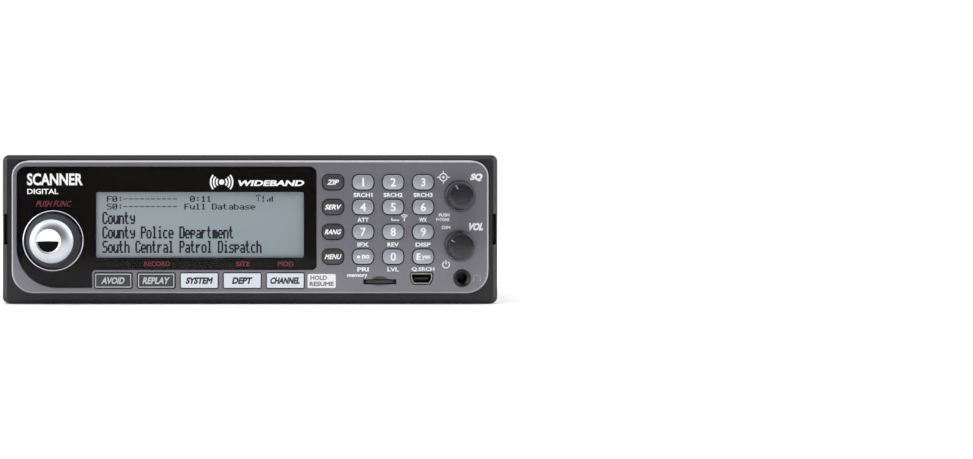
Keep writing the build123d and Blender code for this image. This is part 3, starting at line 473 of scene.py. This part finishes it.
# ------------------------------------------------------------------ printing
# A mark of ink is (points, faces): points are (x, h, lift), lift running from 0 under the ink to 1
# on top of it.
def letters(text, height, width=None, slant=0.0, weight=0.02):
    """A word centred on (0, 0), fitted to a height, and to a width if given."""
    curve = bpy.data.curves.new("letters", "FONT")
    curve.body = text
    curve.extrude = 0.01
    curve.bevel_depth = weight
    curve.bevel_resolution = 0
    curve.resolution_u = 3
    holder = bpy.data.objects.new("letters", curve)
    bpy.context.scene.collection.objects.link(holder)
    bpy.context.view_layer.update()
    mesh = bpy.data.meshes.new_from_object(holder.evaluated_get(bpy.context.evaluated_depsgraph_get()))
    bpy.data.objects.remove(holder)
    low = [min(v.co[axis] for v in mesh.vertices) for axis in range(3)]
    high = [max(v.co[axis] for v in mesh.vertices) for axis in range(3)]
    tall = height / (high[1] - low[1])
    wide = width / (high[0] - low[0]) if width else tall
    points = []
    for vertex in mesh.vertices:
        x = (vertex.co.x - (low[0] + high[0]) / 2) * wide
        h = (vertex.co.y - (low[1] + high[1]) / 2) * tall
        points.append((x + slant * h, h, (vertex.co.z - low[2]) / (high[2] - low[2])))
    return points, [tuple(polygon.vertices) for polygon in mesh.polygons]


def plates(polygons):
    """A mark from flat outlines."""
    points, faces = [], []
    for polygon in polygons:
        base, count = len(points), len(polygon)
        points += [(x, h, 1) for x, h in polygon]
        points += [(x, h, 0) for x, h in polygon]
        faces.append(tuple(range(base, base + count)))
        faces.append(tuple(range(base + count, base + 2 * count)))
        for i in range(count):
            j = (i + 1) % count
            faces.append((base + i, base + count + i, base + count + j, base + j))
    return points, faces


def strokes(points, width, closed=False):
    """A mark that follows a line through the points at an even width."""
    count = len(points)
    rights, lefts = [], []
    for i, point in enumerate(points):
        before = points[i - 1] if i or closed else point
        after = points[(i + 1) % count] if i < count - 1 or closed else point
        here = Vector(point)
        sides = []
        for along in (here - Vector(before), Vector(after) - here):
            if along.length:
                sides.append(Vector((-along.y, along.x)).normalized())
        side = sum(sides, Vector((0, 0))).normalized()
        side *= width / 2 / max(0.3, side.dot(sides[0]))
        rights.append(tuple(here - side))
        lefts.append(tuple(here + side))
    spots = [(x, h, lift) for lift in (1, 0) for x, h in rights + lefts]
    faces = []
    for i in range(count if closed else count - 1):
        j = (i + 1) % count
        ends = [(i, j), (count + i, count + j)]
        for base in (0, 2 * count):
            faces.append((base + i, base + j, base + count + j, base + count + i))
        for first, second in ends:
            faces.append((first, second, 2 * count + second, 2 * count + first))
    if not closed:
        for i in (0, count - 1):
            faces.append((i, count + i, 3 * count + i, 2 * count + i))
    return spots, faces


def arc(x, h, radius, start, end, steps=16):
    """Points of an arc in degrees counter-clockwise from the right."""
    angles = [math.radians(start + (end - start) * i / steps) for i in range(steps + 1)]
    return [(x + radius * math.cos(a), h + radius * math.sin(a)) for a in angles]


def dot(x, h, radius, steps=20):
    return plates([arc(x, h, radius, 0, 360, steps)[:-1]])


def moved(mark, x, h):
    points, faces = mark
    return [(u + x, v + h, lift) for u, v, lift in points], faces


def sliced(mark, step):
    """The mark cut across every step both ways, so that it can follow a curved surface."""
    points, faces = mark
    mesh = bpy.data.meshes.new("sliced")
    mesh.from_pydata(points, [], faces)
    work = bmesh.new()
    work.from_mesh(mesh)
    for axis in (0, 1):
        low = min(point[axis] for point in points)
        high = max(point[axis] for point in points)
        for cut in range(1, int((high - low) / step) + 1):
            across = Vector((0, 0, 0))
            across[axis] = 1
            parts = work.verts[:] + work.edges[:] + work.faces[:]
            place = across * (low + cut * step)
            bmesh.ops.bisect_plane(work, geom=parts, plane_co=place, plane_no=across, dist=1e-9)
    work.to_mesh(mesh)
    work.free()
    return [tuple(v.co) for v in mesh.vertices], [tuple(polygon.vertices) for polygon in mesh.polygons]


def joined(marks):
    points, faces = [], []
    for spots, sides in marks:
        base = len(points)
        points += spots
        faces += [tuple(base + i for i in side) for side in sides]
    return points, faces


def printed(name, marks, ink, body, surface):
    """Lays marks of ink on a surface; surface(x, z) gives the surface's y."""
    spots, faces = joined(marks)
    points = []
    for u, v, lift in spots:
        x, z = FACE.x + u, FACE.z + v
        points.append((x, surface(x, z) + INK * (0.5 - 1.5 * lift), z))
    return piece_from(name, points, faces, ink, body)


def flat(y):
    return lambda x, z: y


# ------------------------------------------------------------------ keys
KEY_CROWN = 16 * MM
KEY_GAP_LIP = 0.7 * MM
STEM_RADIUS = 1.6 * MM
SIDE_DEPTH = 0.75 * MM
SIDE_FACING = -0.8
LIP_FRONT = PANEL_FRONT + 2.45 * MM
LIP_BACK = LIP_FRONT + 0.8 * MM


def crown_of(node, radius):
    """The key's front surface as y of (x, z): part of a ball, or flat if radius is None."""
    low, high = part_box(node)
    centre = (low + high) / 2
    if radius is None:
        return flat(low.y)
    return lambda x, z: low.y + ((x - centre.x) ** 2 + (z - centre.z) ** 2) / (2 * radius)


def make_key(node, corner, crown, material, edge=0.32 * MM):
    """A key: crowned cap with a soft edge and dark sides, lip behind the panel, and stem."""
    low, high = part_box(node)
    centre = (low + high) / 2
    width, height = high.x - low.x - 2 * KEY_GAP_LIP, high.z - low.z - 2 * KEY_GAP_LIP
    surface = crown_of(node, crown)
    rings = []

    def ring(inset, drop, shrink=1.0):
        outline = rounded_rectangle(width - 2 * inset, height - 2 * inset, max(corner - inset, 0.1 * MM))
        spots = [(centre.x + u * shrink, centre.z + v * shrink) for u, v in outline]
        rings.append([(x, surface(x, z) + drop, z) for x, z in spots])

    def band(grow, y):
        outline = rounded_rectangle(width + 2 * grow, height + 2 * grow, corner + grow)
        rings.append([(centre.x + u, y, centre.z + v) for u, v in outline])

    for shrink in (0.04, 0.3, 0.55, 0.75, 0.9):
        ring(edge, 0.0, shrink)
    for step in range(6):
        angle = math.radians(90 * step / 5)
        ring(edge * (1 - math.sin(angle)), edge * (1 - math.cos(angle)))
    band(0.0, LIP_FRONT)
    band(KEY_GAP_LIP, LIP_FRONT)
    band(KEY_GAP_LIP, LIP_BACK)
    for y in (LIP_BACK, high.y):
        stem = rounded_rectangle(2 * STEM_RADIUS, 2 * STEM_RADIUS, STEM_RADIUS)
        rings.append([(centre.x + u, y, centre.z + v) for u, v in stem])
    cap = piece_from(node + "_cap", *loft(rings), material, node)
    cap.data.materials.append(finishes["socket_black"])
    for polygon in cap.data.polygons:
        if polygon.center.y > low.y + SIDE_DEPTH or polygon.normal.y > SIDE_FACING:
            polygon.material_index = 1
    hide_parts(node)


slot_of = {part["node"]: part["material_slot"] for part in frame["record"]["subparts"]}

DIGITS = {f"key_{n}": str(n) for n in range(10)}
DARK_WORDS = {"key_place": "ZIP", "key_service": "SERV", "key_range": "RANG", "key_menu": "MENU"}
BAR_WORDS = {
    "key_skip": "AVOID",
    "key_replay": "REPLAY",
    "key_system": "SYSTEM",
    "key_group": "DEPT",
    "key_channel": "CHANNEL",
}
PAD_CORNER, BAR_CORNER = 2.3 * MM, 0.45 * MM


def print_on_key(node, marks, ink, crown):
    centre = middle(node)
    here = [moved(sliced(mark, 0.5 * MM), centre.x - FACE.x, centre.z - FACE.z) for mark in marks]
    printed(node + "_print", here, inks[ink], node, crown_of(node, crown))


for node, digit in DIGITS.items():
    make_key(node, PAD_CORNER, KEY_CROWN, finishes["grey_key"])
    print_on_key(node, [letters(digit, 3.1 * MM, weight=0.02)], "white_ink", KEY_CROWN)
for node in ("key_no", "key_yes"):
    make_key(node, PAD_CORNER, KEY_CROWN, finishes["grey_key"])
no_word = [dot(-1.75 * MM, -0.1 * MM, 0.6 * MM), moved(letters("no", 1.5 * MM, weight=0.04), 0.95 * MM, 0.0)]
yes_word = [moved(letters("E", 2.5 * MM, weight=0.04), -1.75 * MM, 0.0)]
yes_word.append(moved(letters("yes", 1.75 * MM, weight=0.03), 1.05 * MM, -0.35 * MM))
print_on_key("key_no", no_word, "white_ink", KEY_CROWN)
print_on_key("key_yes", yes_word, "white_ink", KEY_CROWN)
for node, text in DARK_WORDS.items():
    make_key(node, PAD_CORNER, KEY_CROWN, finishes["dark_key"])
    wide = 4.2 * MM if len(text) == 3 else 5.8 * MM
    print_on_key(node, [letters(text, 1.9 * MM, wide, slant=0.3, weight=0.035)], "white_ink", KEY_CROWN)
for node, text in BAR_WORDS.items():
    dark = slot_of[node] == "dark_key"
    make_key(node, BAR_CORNER, None, finishes[slot_of[node]], edge=0.25 * MM)
    wide = (2.0 + 1.3 * len(text)) * MM
    label = [letters(text, 2.5 * MM, wide, slant=0.22, weight=0.035 if dark else 0.055)]
    if dark:
        frame_line = rounded_rectangle(13.1 * MM, 4.8 * MM, 0.3 * MM, steps=4)
        label.append(strokes(frame_line, 0.32 * MM, closed=True))
    print_on_key(node, label, "silver_ink" if dark else "dark_ink", None)


# ------------------------------------------------------------------ scroll knob
knob_low, knob_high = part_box("scroll_knob")
cap_low, cap_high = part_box("scroll_cap")
ring_low, ring_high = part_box("knob_ring")
KNOB_X, KNOB_H = KNOB_AXIS.x, KNOB_AXIS.z - FACE.z
CAP_RADIUS = (cap_high.x - cap_low.x) / 2
SKIRT_RADIUS = (knob_high.x - knob_low.x) / 2
RING_RADIUS = (ring_high.x - ring_low.x) / 2
DISH_RADIUS, DISH_BALL, DISH_LEFT = 4.5 * MM, 7.0 * MM, 0.7 * MM
CAP_STEPS = 20
ROUND_STEPS = 128
CAP_SEAT = cap_low.y + 3.3 * MM


def make_scroll_cap():
    """Bright cap: a rounded cone that falls away from a polished dish, a little left of centre."""
    front = cap_low.y
    rings = []

    def ring(radius, y, shift):
        rings.append([(KNOB_X - shift + u, y, KNOB_AXIS.z + v) for u, v in circle(radius, ROUND_STEPS)])

    sag = DISH_BALL - math.sqrt(DISH_BALL**2 - DISH_RADIUS**2)
    for step in range(1, 25):
        radius = DISH_RADIUS * step / 24
        depth = sag - (DISH_BALL - math.sqrt(DISH_BALL**2 - radius**2))
        ring(max(radius, 0.1 * MM), front + 0.03 * MM + depth, DISH_LEFT)
    radius, y = DISH_RADIUS + 0.1 * MM, front
    ring(radius, y, DISH_LEFT)
    reach = (CAP_RADIUS - radius) / CAP_STEPS
    for step in range(CAP_STEPS):
        t = (step + 0.5) / CAP_STEPS
        radius += reach
        y += reach * math.tan(math.radians(24 + 30 * t**1.5))
        ring(radius, y, DISH_LEFT * (1 - (step + 1) / CAP_STEPS))
    for radius, y in ((CAP_RADIUS, CAP_SEAT), (6.5 * MM, CAP_SEAT), (6.5 * MM, cap_high.y)):
        ring(radius, y, 0.0)
    cap = piece_from("scroll_cap_bright", *loft(rings), finishes["polished_cap"], "scroll_turn", smooth=25)
    cap.data.materials.append(mirror)
    for polygon in cap.data.polygons:
        away = math.hypot(polygon.center.x - KNOB_X + DISH_LEFT, polygon.center.z - KNOB_AXIS.z)
        if away < DISH_RADIUS and polygon.center.y < cap_high.y - 0.1 * MM:
            polygon.material_index = 1
    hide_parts("scroll_cap")


def make_scroll_body():
    """Dark body of the scroll knob, waisted between its skirt and the seat of the cap."""
    seat = CAP_SEAT
    base = knob_high.y
    profile = [
        (6.6 * MM, cap_high.y),
        (6.6 * MM, seat),
        (CAP_RADIUS + 0.25 * MM, seat),
        (9.2 * MM, seat + 3.0 * MM),
        (SKIRT_RADIUS, base - 1.2 * MM),
        (SKIRT_RADIUS, base),
        (9.1 * MM, base),
        (8.2 * MM, seat + 3.0 * MM),
        (5.2 * MM, seat + 3.0 * MM),
    ]
    radii = [0, 0.15 * MM, 2.5 * MM, 0.6 * MM, 0.3 * MM, 0.1 * MM, 0]
    rings = turned(softened(profile, radii), KNOB_X, KNOB_H, ROUND_STEPS)
    body = piece_from("scroll_knob_grip", *loft(rings), skirt_grey, "scroll_turn")
    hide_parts("scroll_knob")


def make_ring():
    """The bright ring that the knob stands in: a narrow crest with a bevel down to the bore."""
    bore = RING_RADIUS - 0.9 * MM
    crest = RING_RADIUS - 0.4 * MM
    profile = [
        (bore, ring_high.y),
        (bore, ring_low.y + 0.5 * MM),
        (crest, ring_low.y),
        (RING_RADIUS, ring_low.y + 0.3 * MM),
        (RING_RADIUS, ring_high.y),
    ]
    rings = turned(softened(profile, [0.05 * MM, 0.08 * MM, 0.1 * MM]), KNOB_X, KNOB_H, ROUND_STEPS)
    points, faces = loft(rings)
    last = len(points) - ROUND_STEPS
    walls = faces[2:]
    for i in range(ROUND_STEPS):
        j = (i + 1) % ROUND_STEPS
        walls.append((i, j, last + j, last + i))
    ring = piece_from("knob_ring_bright", points, walls, finishes["bright_ring"], CASE)
    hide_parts("knob_ring")


make_scroll_cap()
make_scroll_body()
make_ring()


# ------------------------------------------------------------------ squelch and volume knobs
def carve(piece, cutter):
    """Takes the cutter's shape out of the piece for good."""
    boolean = piece.modifiers.new("carve", "BOOLEAN")
    boolean.object = cutter
    boolean.solver = "EXACT"
    bpy.context.view_layer.update()
    carved = bpy.data.meshes.new_from_object(piece.evaluated_get(bpy.context.evaluated_depsgraph_get()))
    piece.modifiers.clear()
    piece.data = carved
    piece.data.set_sharp_from_angle(angle=math.radians(30))
    bpy.data.objects.remove(cutter)


RIBS, RIB_DEPTH = 44, 0.14 * MM
GRIP_RADIUS, GROOVE_DEPTH = 3.5 * MM, 0.8 * MM


def make_small_knob(node, body, pointer):
    """A small dark knob: skirt, ribbed grip, faintly domed top, and a pointer groove with a light line, a
    painted highlight for the groove's lit edges.
    """
    low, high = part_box(node)
    centre = (low + high) / 2
    h = centre.z - FACE.z
    skirt = (high.x - low.x) / 2
    profile = [
        (0.1 * MM, low.y),
        (3.9 * MM, low.y + 0.12 * MM),
        (4.7 * MM, low.y + 0.55 * MM),
        (4.95 * MM, high.y - 1.3 * MM),
        (skirt, high.y - 0.9 * MM),
        (skirt, high.y),
        (3.1 * MM, high.y),
        (3.1 * MM, low.y + 2.3 * MM),
        (0.1 * MM, low.y + 2.3 * MM),
    ]
    radii = [0.5 * MM, 0.35 * MM, 0.25 * MM, 0.2 * MM, 0.15 * MM, 0, 0]
    rings = turned(softened(profile, radii), centre.x, h, 4 * RIBS)
    for ring in rings:
        for i, (x, y, z) in enumerate(ring):
            across, up = x - centre.x, z - centre.z
            away = math.hypot(across, up)
            if i % 4 < 2 and low.y + 0.5 * MM < y < high.y - 1.25 * MM and away > GRIP_RADIUS:
                share = 1 - RIB_DEPTH / away
                ring[i] = (centre.x + across * share, y, centre.z + up * share)
    knob = piece_from(node + "_grip", *loft(rings), finishes["dark_knob"], body)
    turn = math.radians(pointer)
    slot_line = rounded_rectangle(0.75 * MM, 3.0 * MM, 0.3 * MM, steps=4)
    spots = []
    for u, v in slot_line:
        v += 4.0 * MM
        across = u * math.cos(turn) - v * math.sin(turn)
        up = u * math.sin(turn) + v * math.cos(turn)
        spots.append((centre.x + across, centre.z + up))
    rings = [[(x, y, z) for x, z in spots] for y in (low.y - 1 * MM, low.y + GROOVE_DEPTH)]
    carve(knob, piece_from("pointer_cutter", *loft(rings), finishes["dark_knob"], body))
    # Painted highlight: a light ink line on the groove's floor stands in for the groove's lit edges.
    ends = []
    for reach in (2.8 * MM, 4.5 * MM):
        ends.append((centre.x - FACE.x - reach * math.sin(turn), h + reach * math.cos(turn)))
    printed(node + "_line", [strokes(ends, 0.42 * MM)], inks["silver_ink"], body, flat(low.y + GROOVE_DEPTH))
    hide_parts(node)


make_small_knob("squelch_knob", "squelch_turn", 29.5)
make_small_knob("volume_knob", "volume_turn", 59.5)


# ------------------------------------------------------------------ display
GLYPHS = {
    " ": "..... ..... ..... ..... ..... ..... .....",
    "-": "..... ..... ..... ####. ..... ..... .....",
    ":": "..... ..#.. ..#.. ..... ..#.. ..#.. .....",
    "!": "..#.. ..#.. ..#.. ..#.. ..... ..#.. ..#..",
    "0": ".###. #...# #..## #.#.# ##..# #...# .###.",
    "1": "..#.. .##.. ..#.. ..#.. ..#.. ..#.. .###.",
    "C": ".###. #...# #.... #.... #.... #...# .###.",
    "D": "####. #...# #...# #...# #...# #...# ####.",
    "F": "##### #.... #.... ####. #.... #.... #....",
    "P": "####. #...# #...# ####. #.... #.... #....",
    "S": ".#### #.... #.... .###. ....# ....# ####.",
    "a": "..... ..... .###. ....# .#### #...# .####",
    "b": "#.... #.... ####. #...# #...# #...# ####.",
    "c": "..... ..... .###. #.... #.... #.... .###.",
    "e": "..... ..... .###. #...# ##### #.... .###.",
    "h": "#.... #.... ####. #...# #...# #...# #...#",
    "i": "..#.. ..... .##.. ..#.. ..#.. ..#.. .###.",
    "l": ".##.. ..#.. ..#.. ..#.. ..#.. ..#.. .###.",
    "m": "..... ..... ##.#. #.#.# #.#.# #.#.# #.#.#",
    "n": "..... ..... ####. #...# #...# #...# #...#",
    "o": "..... ..... .###. #...# #...# #...# .###.",
    "p": "..... ..... ####. #...# ####. #.... #....",
    "r": "..... ..... #.##. ##... #.... #.... #....",
    "s": "..... ..... .#### #.... .###. ....# ####.",
    "t": ".#... .#... ###.. .#... .#... .#... ..##.",
    "u": "..... ..... #...# #...# #...# #..## .##.#",
    "y": "..... ..... #...# #...# .#### ....# .###.",
}
DOT_W, DOT_H = 0.343 * MM, 0.32 * MM


def dot_text(text, left, top, tall=1.0, bold=0.0):
    """Lit dots of a line of display text; dots side by side in a row are one plate."""
    polygons = []
    for place, letter in enumerate(text):
        for row, dots in enumerate(GLYPHS[letter].split()):
            start = None
            for column, state in enumerate(dots + "."):
                if state == "#" and start is None:
                    start = column
                if state != "#" and start is not None:
                    x0 = left + (place * 6 + start) * DOT_W
                    x1 = left + (place * 6 + column + bold) * DOT_W
                    z1 = top - row * DOT_H * tall
                    z0 = z1 - DOT_H * tall
                    polygons.append([(x0, z0), (x1, z0), (x1, z1), (x0, z1)])
                    start = None
    return plates(polygons)


SMALL_LINES = [
    ("F0:----------", -53.6, 12.4),
    ("0:11", -22.5, 12.4),
    ("!", 4.0, 12.4),
    ("S0:----------", -53.6, 9.55),
    ("Full Database", -24.6, 9.55),
]
LARGE_LINES = [
    ("County", -55.3, 6.45),
    ("County Police Department", -55.3, 1.05),
    ("South Central Patrol Dispatch", -55.3, -4.35),
]
display = []
for text, left, top in SMALL_LINES:
    display.append(dot_text(text, left * MM, top * MM, bold=0.5))
for text, left, top in LARGE_LINES:
    display.append(dot_text(text, left * MM, top * MM, tall=2.05, bold=0.95))
for bar in range(3):
    x, tall = (6.6 + 0.85 * bar) * MM, (1.0 + 0.6 * bar) * MM
    display.append(strokes([(x, 10.3 * MM), (x, 10.1 * MM + tall)], 0.55 * MM))
display.append(strokes([(3.1 * MM, 10.3 * MM), (3.1 * MM, 12.2 * MM)], 0.35 * MM))
display.append(strokes(arc(3.1 * MM, 11.9 * MM, 0.9 * MM, 20, 160, 6), 0.3 * MM))
printed("display_text", display, inks["lcd_ink"], CASE, flat(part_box("lcd_panel")[0].y))


# ------------------------------------------------------------------ words and signs on the front
def word(text, x, h, height, width=None, slant=0.0, weight=0.03):
    """A word in millimetres at (x, h)."""
    return moved(letters(text, height * MM, width and width * MM, slant, weight), x * MM, h * MM)


PAD_WORDS = {
    "key_1": "SRCH1",
    "key_2": "SRCH2",
    "key_3": "SRCH3",
    "key_4": "ATT",
    "key_6": "WX",
    "key_7": "IFX",
    "key_8": "REV",
    "key_9": "DISP",
    "key_no": "PRI",
    "key_0": "LVL",
    "key_yes": "Q.SRCH",
}
panel_print = []
for node, text in PAD_WORDS.items():
    spot = middle(node)
    wide = 1.42 * len(text) * MM
    below = spot.z - FACE.z - 4.75 * MM
    panel_print.append(moved(letters(text, 1.6 * MM, wide, weight=0.035), spot.x - FACE.x, below))


def aerial_sign(x, h):
    """A small mast with two waves over it, and a space mark to its left."""
    left, right, low = x - 4.7 * MM, x - 1.9 * MM, h - 0.6 * MM
    return [
        strokes([(x, h - 1.0 * MM), (x, h + 0.3 * MM)], 0.4 * MM),
        strokes(arc(x, h, 0.75 * MM, 30, 150, 8), 0.34 * MM),
        strokes(arc(x, h, 1.45 * MM, 35, 145, 8), 0.34 * MM),
        strokes([(left, h + 0.2 * MM), (left, low), (right, low)], 0.34 * MM),
    ]


def target_sign(x, h):
    marks = [strokes(arc(x, h, 1.35 * MM, 0, 360, 24)[:-1], 0.4 * MM, closed=True), dot(x, h, 0.5 * MM)]
    for across, up in ((1, 0), (0, 1), (-1, 0), (0, -1)):
        ends = [(x + across * reach * MM, h + up * reach * MM) for reach in (1.56, 2.4)]
        marks.append(strokes(ends, 0.36 * MM))
    return marks


def power_sign(x, h):
    return [
        strokes(arc(x, h, 1.25 * MM, 125, 415, 24), 0.42 * MM),
        strokes([(x, h + 0.1 * MM), (x, h + 1.6 * MM)], 0.42 * MM),
    ]


def headphone_sign(x, h):
    marks = [strokes(arc(x, h, 1.3 * MM, 0, 180, 12), 0.25 * MM)]
    for side in (-1.3 * MM, 1.3 * MM):
        marks.append(strokes([(x + side, h), (x + side, h - 1.1 * MM)], 0.5 * MM))
    return marks


aerial_key = middle("key_5")
panel_print += aerial_sign(aerial_key.x - FACE.x + 4.2 * MM, aerial_key.z - FACE.z - 4.3 * MM)
panel_print += target_sign(72.1 * MM, 19.4 * MM)
panel_print += power_sign(73.1 * MM, -13.2 * MM)
panel_print.append(word("SQ", 84.4, 19.3, 3.0, 4.4, slant=0.28, weight=0.065))
panel_print.append(word("VOL", 84.2, 0.95, 2.9, 5.9, slant=0.28, weight=0.065))
panel_print.append(word("PUSH", 72.4, 5.3, 1.2, 3.9))
panel_print.append(word("F+TONE", 71.9, 3.6, 1.2, 4.9))
panel_print.append(word("DIM", 73.1, 0.65, 1.2, 3.1))
panel_print.append(word("memory", 40.0, -17.5, 1.5, 7.6, weight=0.035))
printed("panel_words", panel_print, inks["white_ink"], CASE, flat(PANEL_FRONT))
printed("phones_sign", headphone_sign(84.6 * MM, -18.4 * MM), inks["grey_ink"], CASE, flat(PANEL_FRONT))

hold_box = plates([rounded_rectangle(10.5 * MM, 5.2 * MM, 0.5 * MM, steps=4)])
printed("hold_label", [moved(hold_box, 26.7 * MM, -19.3 * MM)], inks["white_ink"], CASE, flat(PANEL_FRONT))
hold_words = [
    word("HOLD", 25.6, -18.1, 1.7, 6.2, weight=0.04),
    word("RESUME", 26.7, -20.4, 1.7, 9.0, weight=0.04),
]
printed("hold_words", hold_words, finishes["silver_paint"], CASE, flat(PANEL_FRONT - INK))


def wave_sign(x, h):
    """A dot with waves spreading to both sides."""
    marks = [dot(x, h, 1.0 * MM)]
    for reach in (1.9, 3.0, 4.1):
        marks.append(strokes(arc(x, h, reach * MM, -40, 40, 12), 0.6 * MM))
        marks.append(strokes(arc(x, h, reach * MM, 140, 220, 12), 0.6 * MM))
    return marks


lens_print = wave_sign(-10.6 * MM, 17.6 * MM)
lens_print.append(word("SCANNER", -72.8, 18.6, 4.5, 20.8, weight=0.03))
lens_print.append(word("DIGITAL", -77.3, 14.1, 2.0, 11.6, weight=0.02))
lens_print.append(word("WIDEBAND", 7.7, 17.2, 2.2, 25.0, slant=0.3, weight=0.04))
printed("lens_words", lens_print, inks["white_ink"], CASE, flat(LENS_FRONT))

red_words = [word("PUSH FUNC", -73.2, 9.5, 2.3, 12.8, slant=0.28, weight=0.015)]
for text, x, wide in (("RECORD", -34.7, 9.6), ("SITE", -2.6, 5.0), ("MOD", 13.3, 5.8)):
    red_words.append(word(text, x, -12.9, 1.8, wide, weight=0.015))
printed("red_words", red_words, inks["red_ink"], CASE, flat(LENS_FRONT))


# ------------------------------------------------------------------ CAD pieces that stay
# Painted shade: the card socket's shell gets a dark metal finish, and the USB shell a dark inside, as if in
# shadow.
sockets_with_painted_shade = {"usb_port": usb_metal_painted_shade, "card_socket": finishes["screw_black"]}
for node, slot_name in slot_of.items():
    shape = nodes[node]
    shape.data.materials.clear()
    shape.data.materials.append(sockets_with_painted_shade.get(node, finishes[slot_name]))


# ------------------------------------------------------------------ floor, light and camera
def make_floor():
    half, near, far = 3.0, bezel_low.y - 0.5, 3.0
    mesh = bpy.data.meshes.new("floor")
    mesh.from_pydata([(-half, near, 0), (half, near, 0), (half, far, 0), (-half, far, 0)], [], [(0, 1, 2, 3)])
    floor = bpy.data.objects.new("floor", mesh)
    bpy.context.scene.collection.objects.link(floor)
    mesh.materials.append(finish("floor_white", (0.86, 0.86, 0.86, 1), 0.7, mottle=0.01, mottle_size=0.2))


def make_world():
    """White to the camera; for light, a studio that is dark in front above the horizon."""
    world = bpy.data.worlds.new("studio")
    world.use_nodes = True
    bpy.context.scene.world = world
    tree = world.node_tree
    new = tree.nodes.new
    link = tree.links.new
    tree.nodes.clear()
    place = new("ShaderNodeTexCoord")
    split = new("ShaderNodeSeparateXYZ")
    link(place.outputs["Generated"], split.inputs["Vector"])

    def ramp(source, start, end, low=0.0, high=1.0):
        made = new("ShaderNodeMapRange")
        made.interpolation_type = "SMOOTHSTEP"
        for key, value in (("From Min", start), ("From Max", end), ("To Min", low), ("To Max", high)):
            made.inputs[key].default_value = value
        link(source, made.inputs["Value"])
        return made.outputs["Result"]

    def combine(operation, first, second):
        made = new("ShaderNodeMath")
        made.operation = operation
        for value, socket in ((first, made.inputs[0]), (second, made.inputs[1])):
            if isinstance(value, float):
                socket.default_value = value
            else:
                link(value, socket)
        return made.outputs["Value"]

    toward = combine("MULTIPLY", split.outputs["Y"], -1.0)
    ahead = ramp(toward, 0.34, 0.42)
    above = ramp(split.outputs["Z"], -0.06, -0.04)
    dark = combine("MULTIPLY", ahead, above)
    band = combine("MULTIPLY", ramp(toward, -0.25, -0.15), ramp(toward, 0.32, 0.24))
    left = combine("MULTIPLY", ramp(split.outputs["X"], -0.5, -0.75), 4.0)
    right = combine("MULTIPLY", ramp(split.outputs["X"], 0.5, 0.75), 3.2)
    top = combine("MULTIPLY", ramp(split.outputs["Z"], 0.6, 0.9), 2.0)
    strips = combine("MULTIPLY", band, combine("ADD", combine("ADD", left, right), top))
    base = combine("ADD", combine("MULTIPLY", combine("SUBTRACT", 1.0, dark), 0.9), 0.01)
    strength = combine("ADD", base, combine("MULTIPLY", strips, above))
    studio = new("ShaderNodeBackground")
    link(strength, studio.inputs["Strength"])
    plain = new("ShaderNodeBackground")
    plain.inputs["Color"].default_value = (1, 1, 1, 1)
    seen = new("ShaderNodeLightPath")
    mix = new("ShaderNodeMixShader")
    output = new("ShaderNodeOutputWorld")
    link(seen.outputs["Is Camera Ray"], mix.inputs["Fac"])
    link(studio.outputs["Background"], mix.inputs[1])
    link(plain.outputs["Background"], mix.inputs[2])
    link(mix.outputs["Shader"], output.inputs["Surface"])


def make_softbox(name, place, aim, size, power):
    light = bpy.data.lights.new(name, "AREA")
    light.shape = "RECTANGLE"
    light.size, light.size_y = size
    light.energy = power
    box = bpy.data.objects.new(name, light)
    box.location = place
    box.rotation_euler = (Vector(aim) - Vector(place)).to_track_quat("-Z", "Y").to_euler()
    box.visible_glossy = False
    box.visible_camera = False
    bpy.context.scene.collection.objects.link(box)


def make_camera():
    """Level, square to the front, and off to one side of the frame by its shift."""
    distance = 0.8
    eye_height = 15 * MM
    camera = bpy.data.cameras.new("camera")
    camera.sensor_width = 36.0
    camera.lens = 79.2
    camera.shift_x = 0.243
    camera.shift_y = -0.0416
    holder = bpy.data.objects.new("camera", camera)
    holder.location = (FACE.x, bezel_low.y - distance, FACE.z + eye_height)
    holder.rotation_euler = (math.radians(90), 0, 0)
    bpy.context.scene.collection.objects.link(holder)
    bpy.context.scene.camera = holder


make_floor()
make_world()
make_softbox("front_light", (-0.35, -1.1, 1.1), (0, 0, 0.03), (1.6, 1.0), 9)
make_softbox("overhead_light", (0, 0.1, 1.8), (0, 0, 0), (3.0, 3.0), 28)
make_camera()
bpy.context.scene.view_settings.view_transform = "Standard"
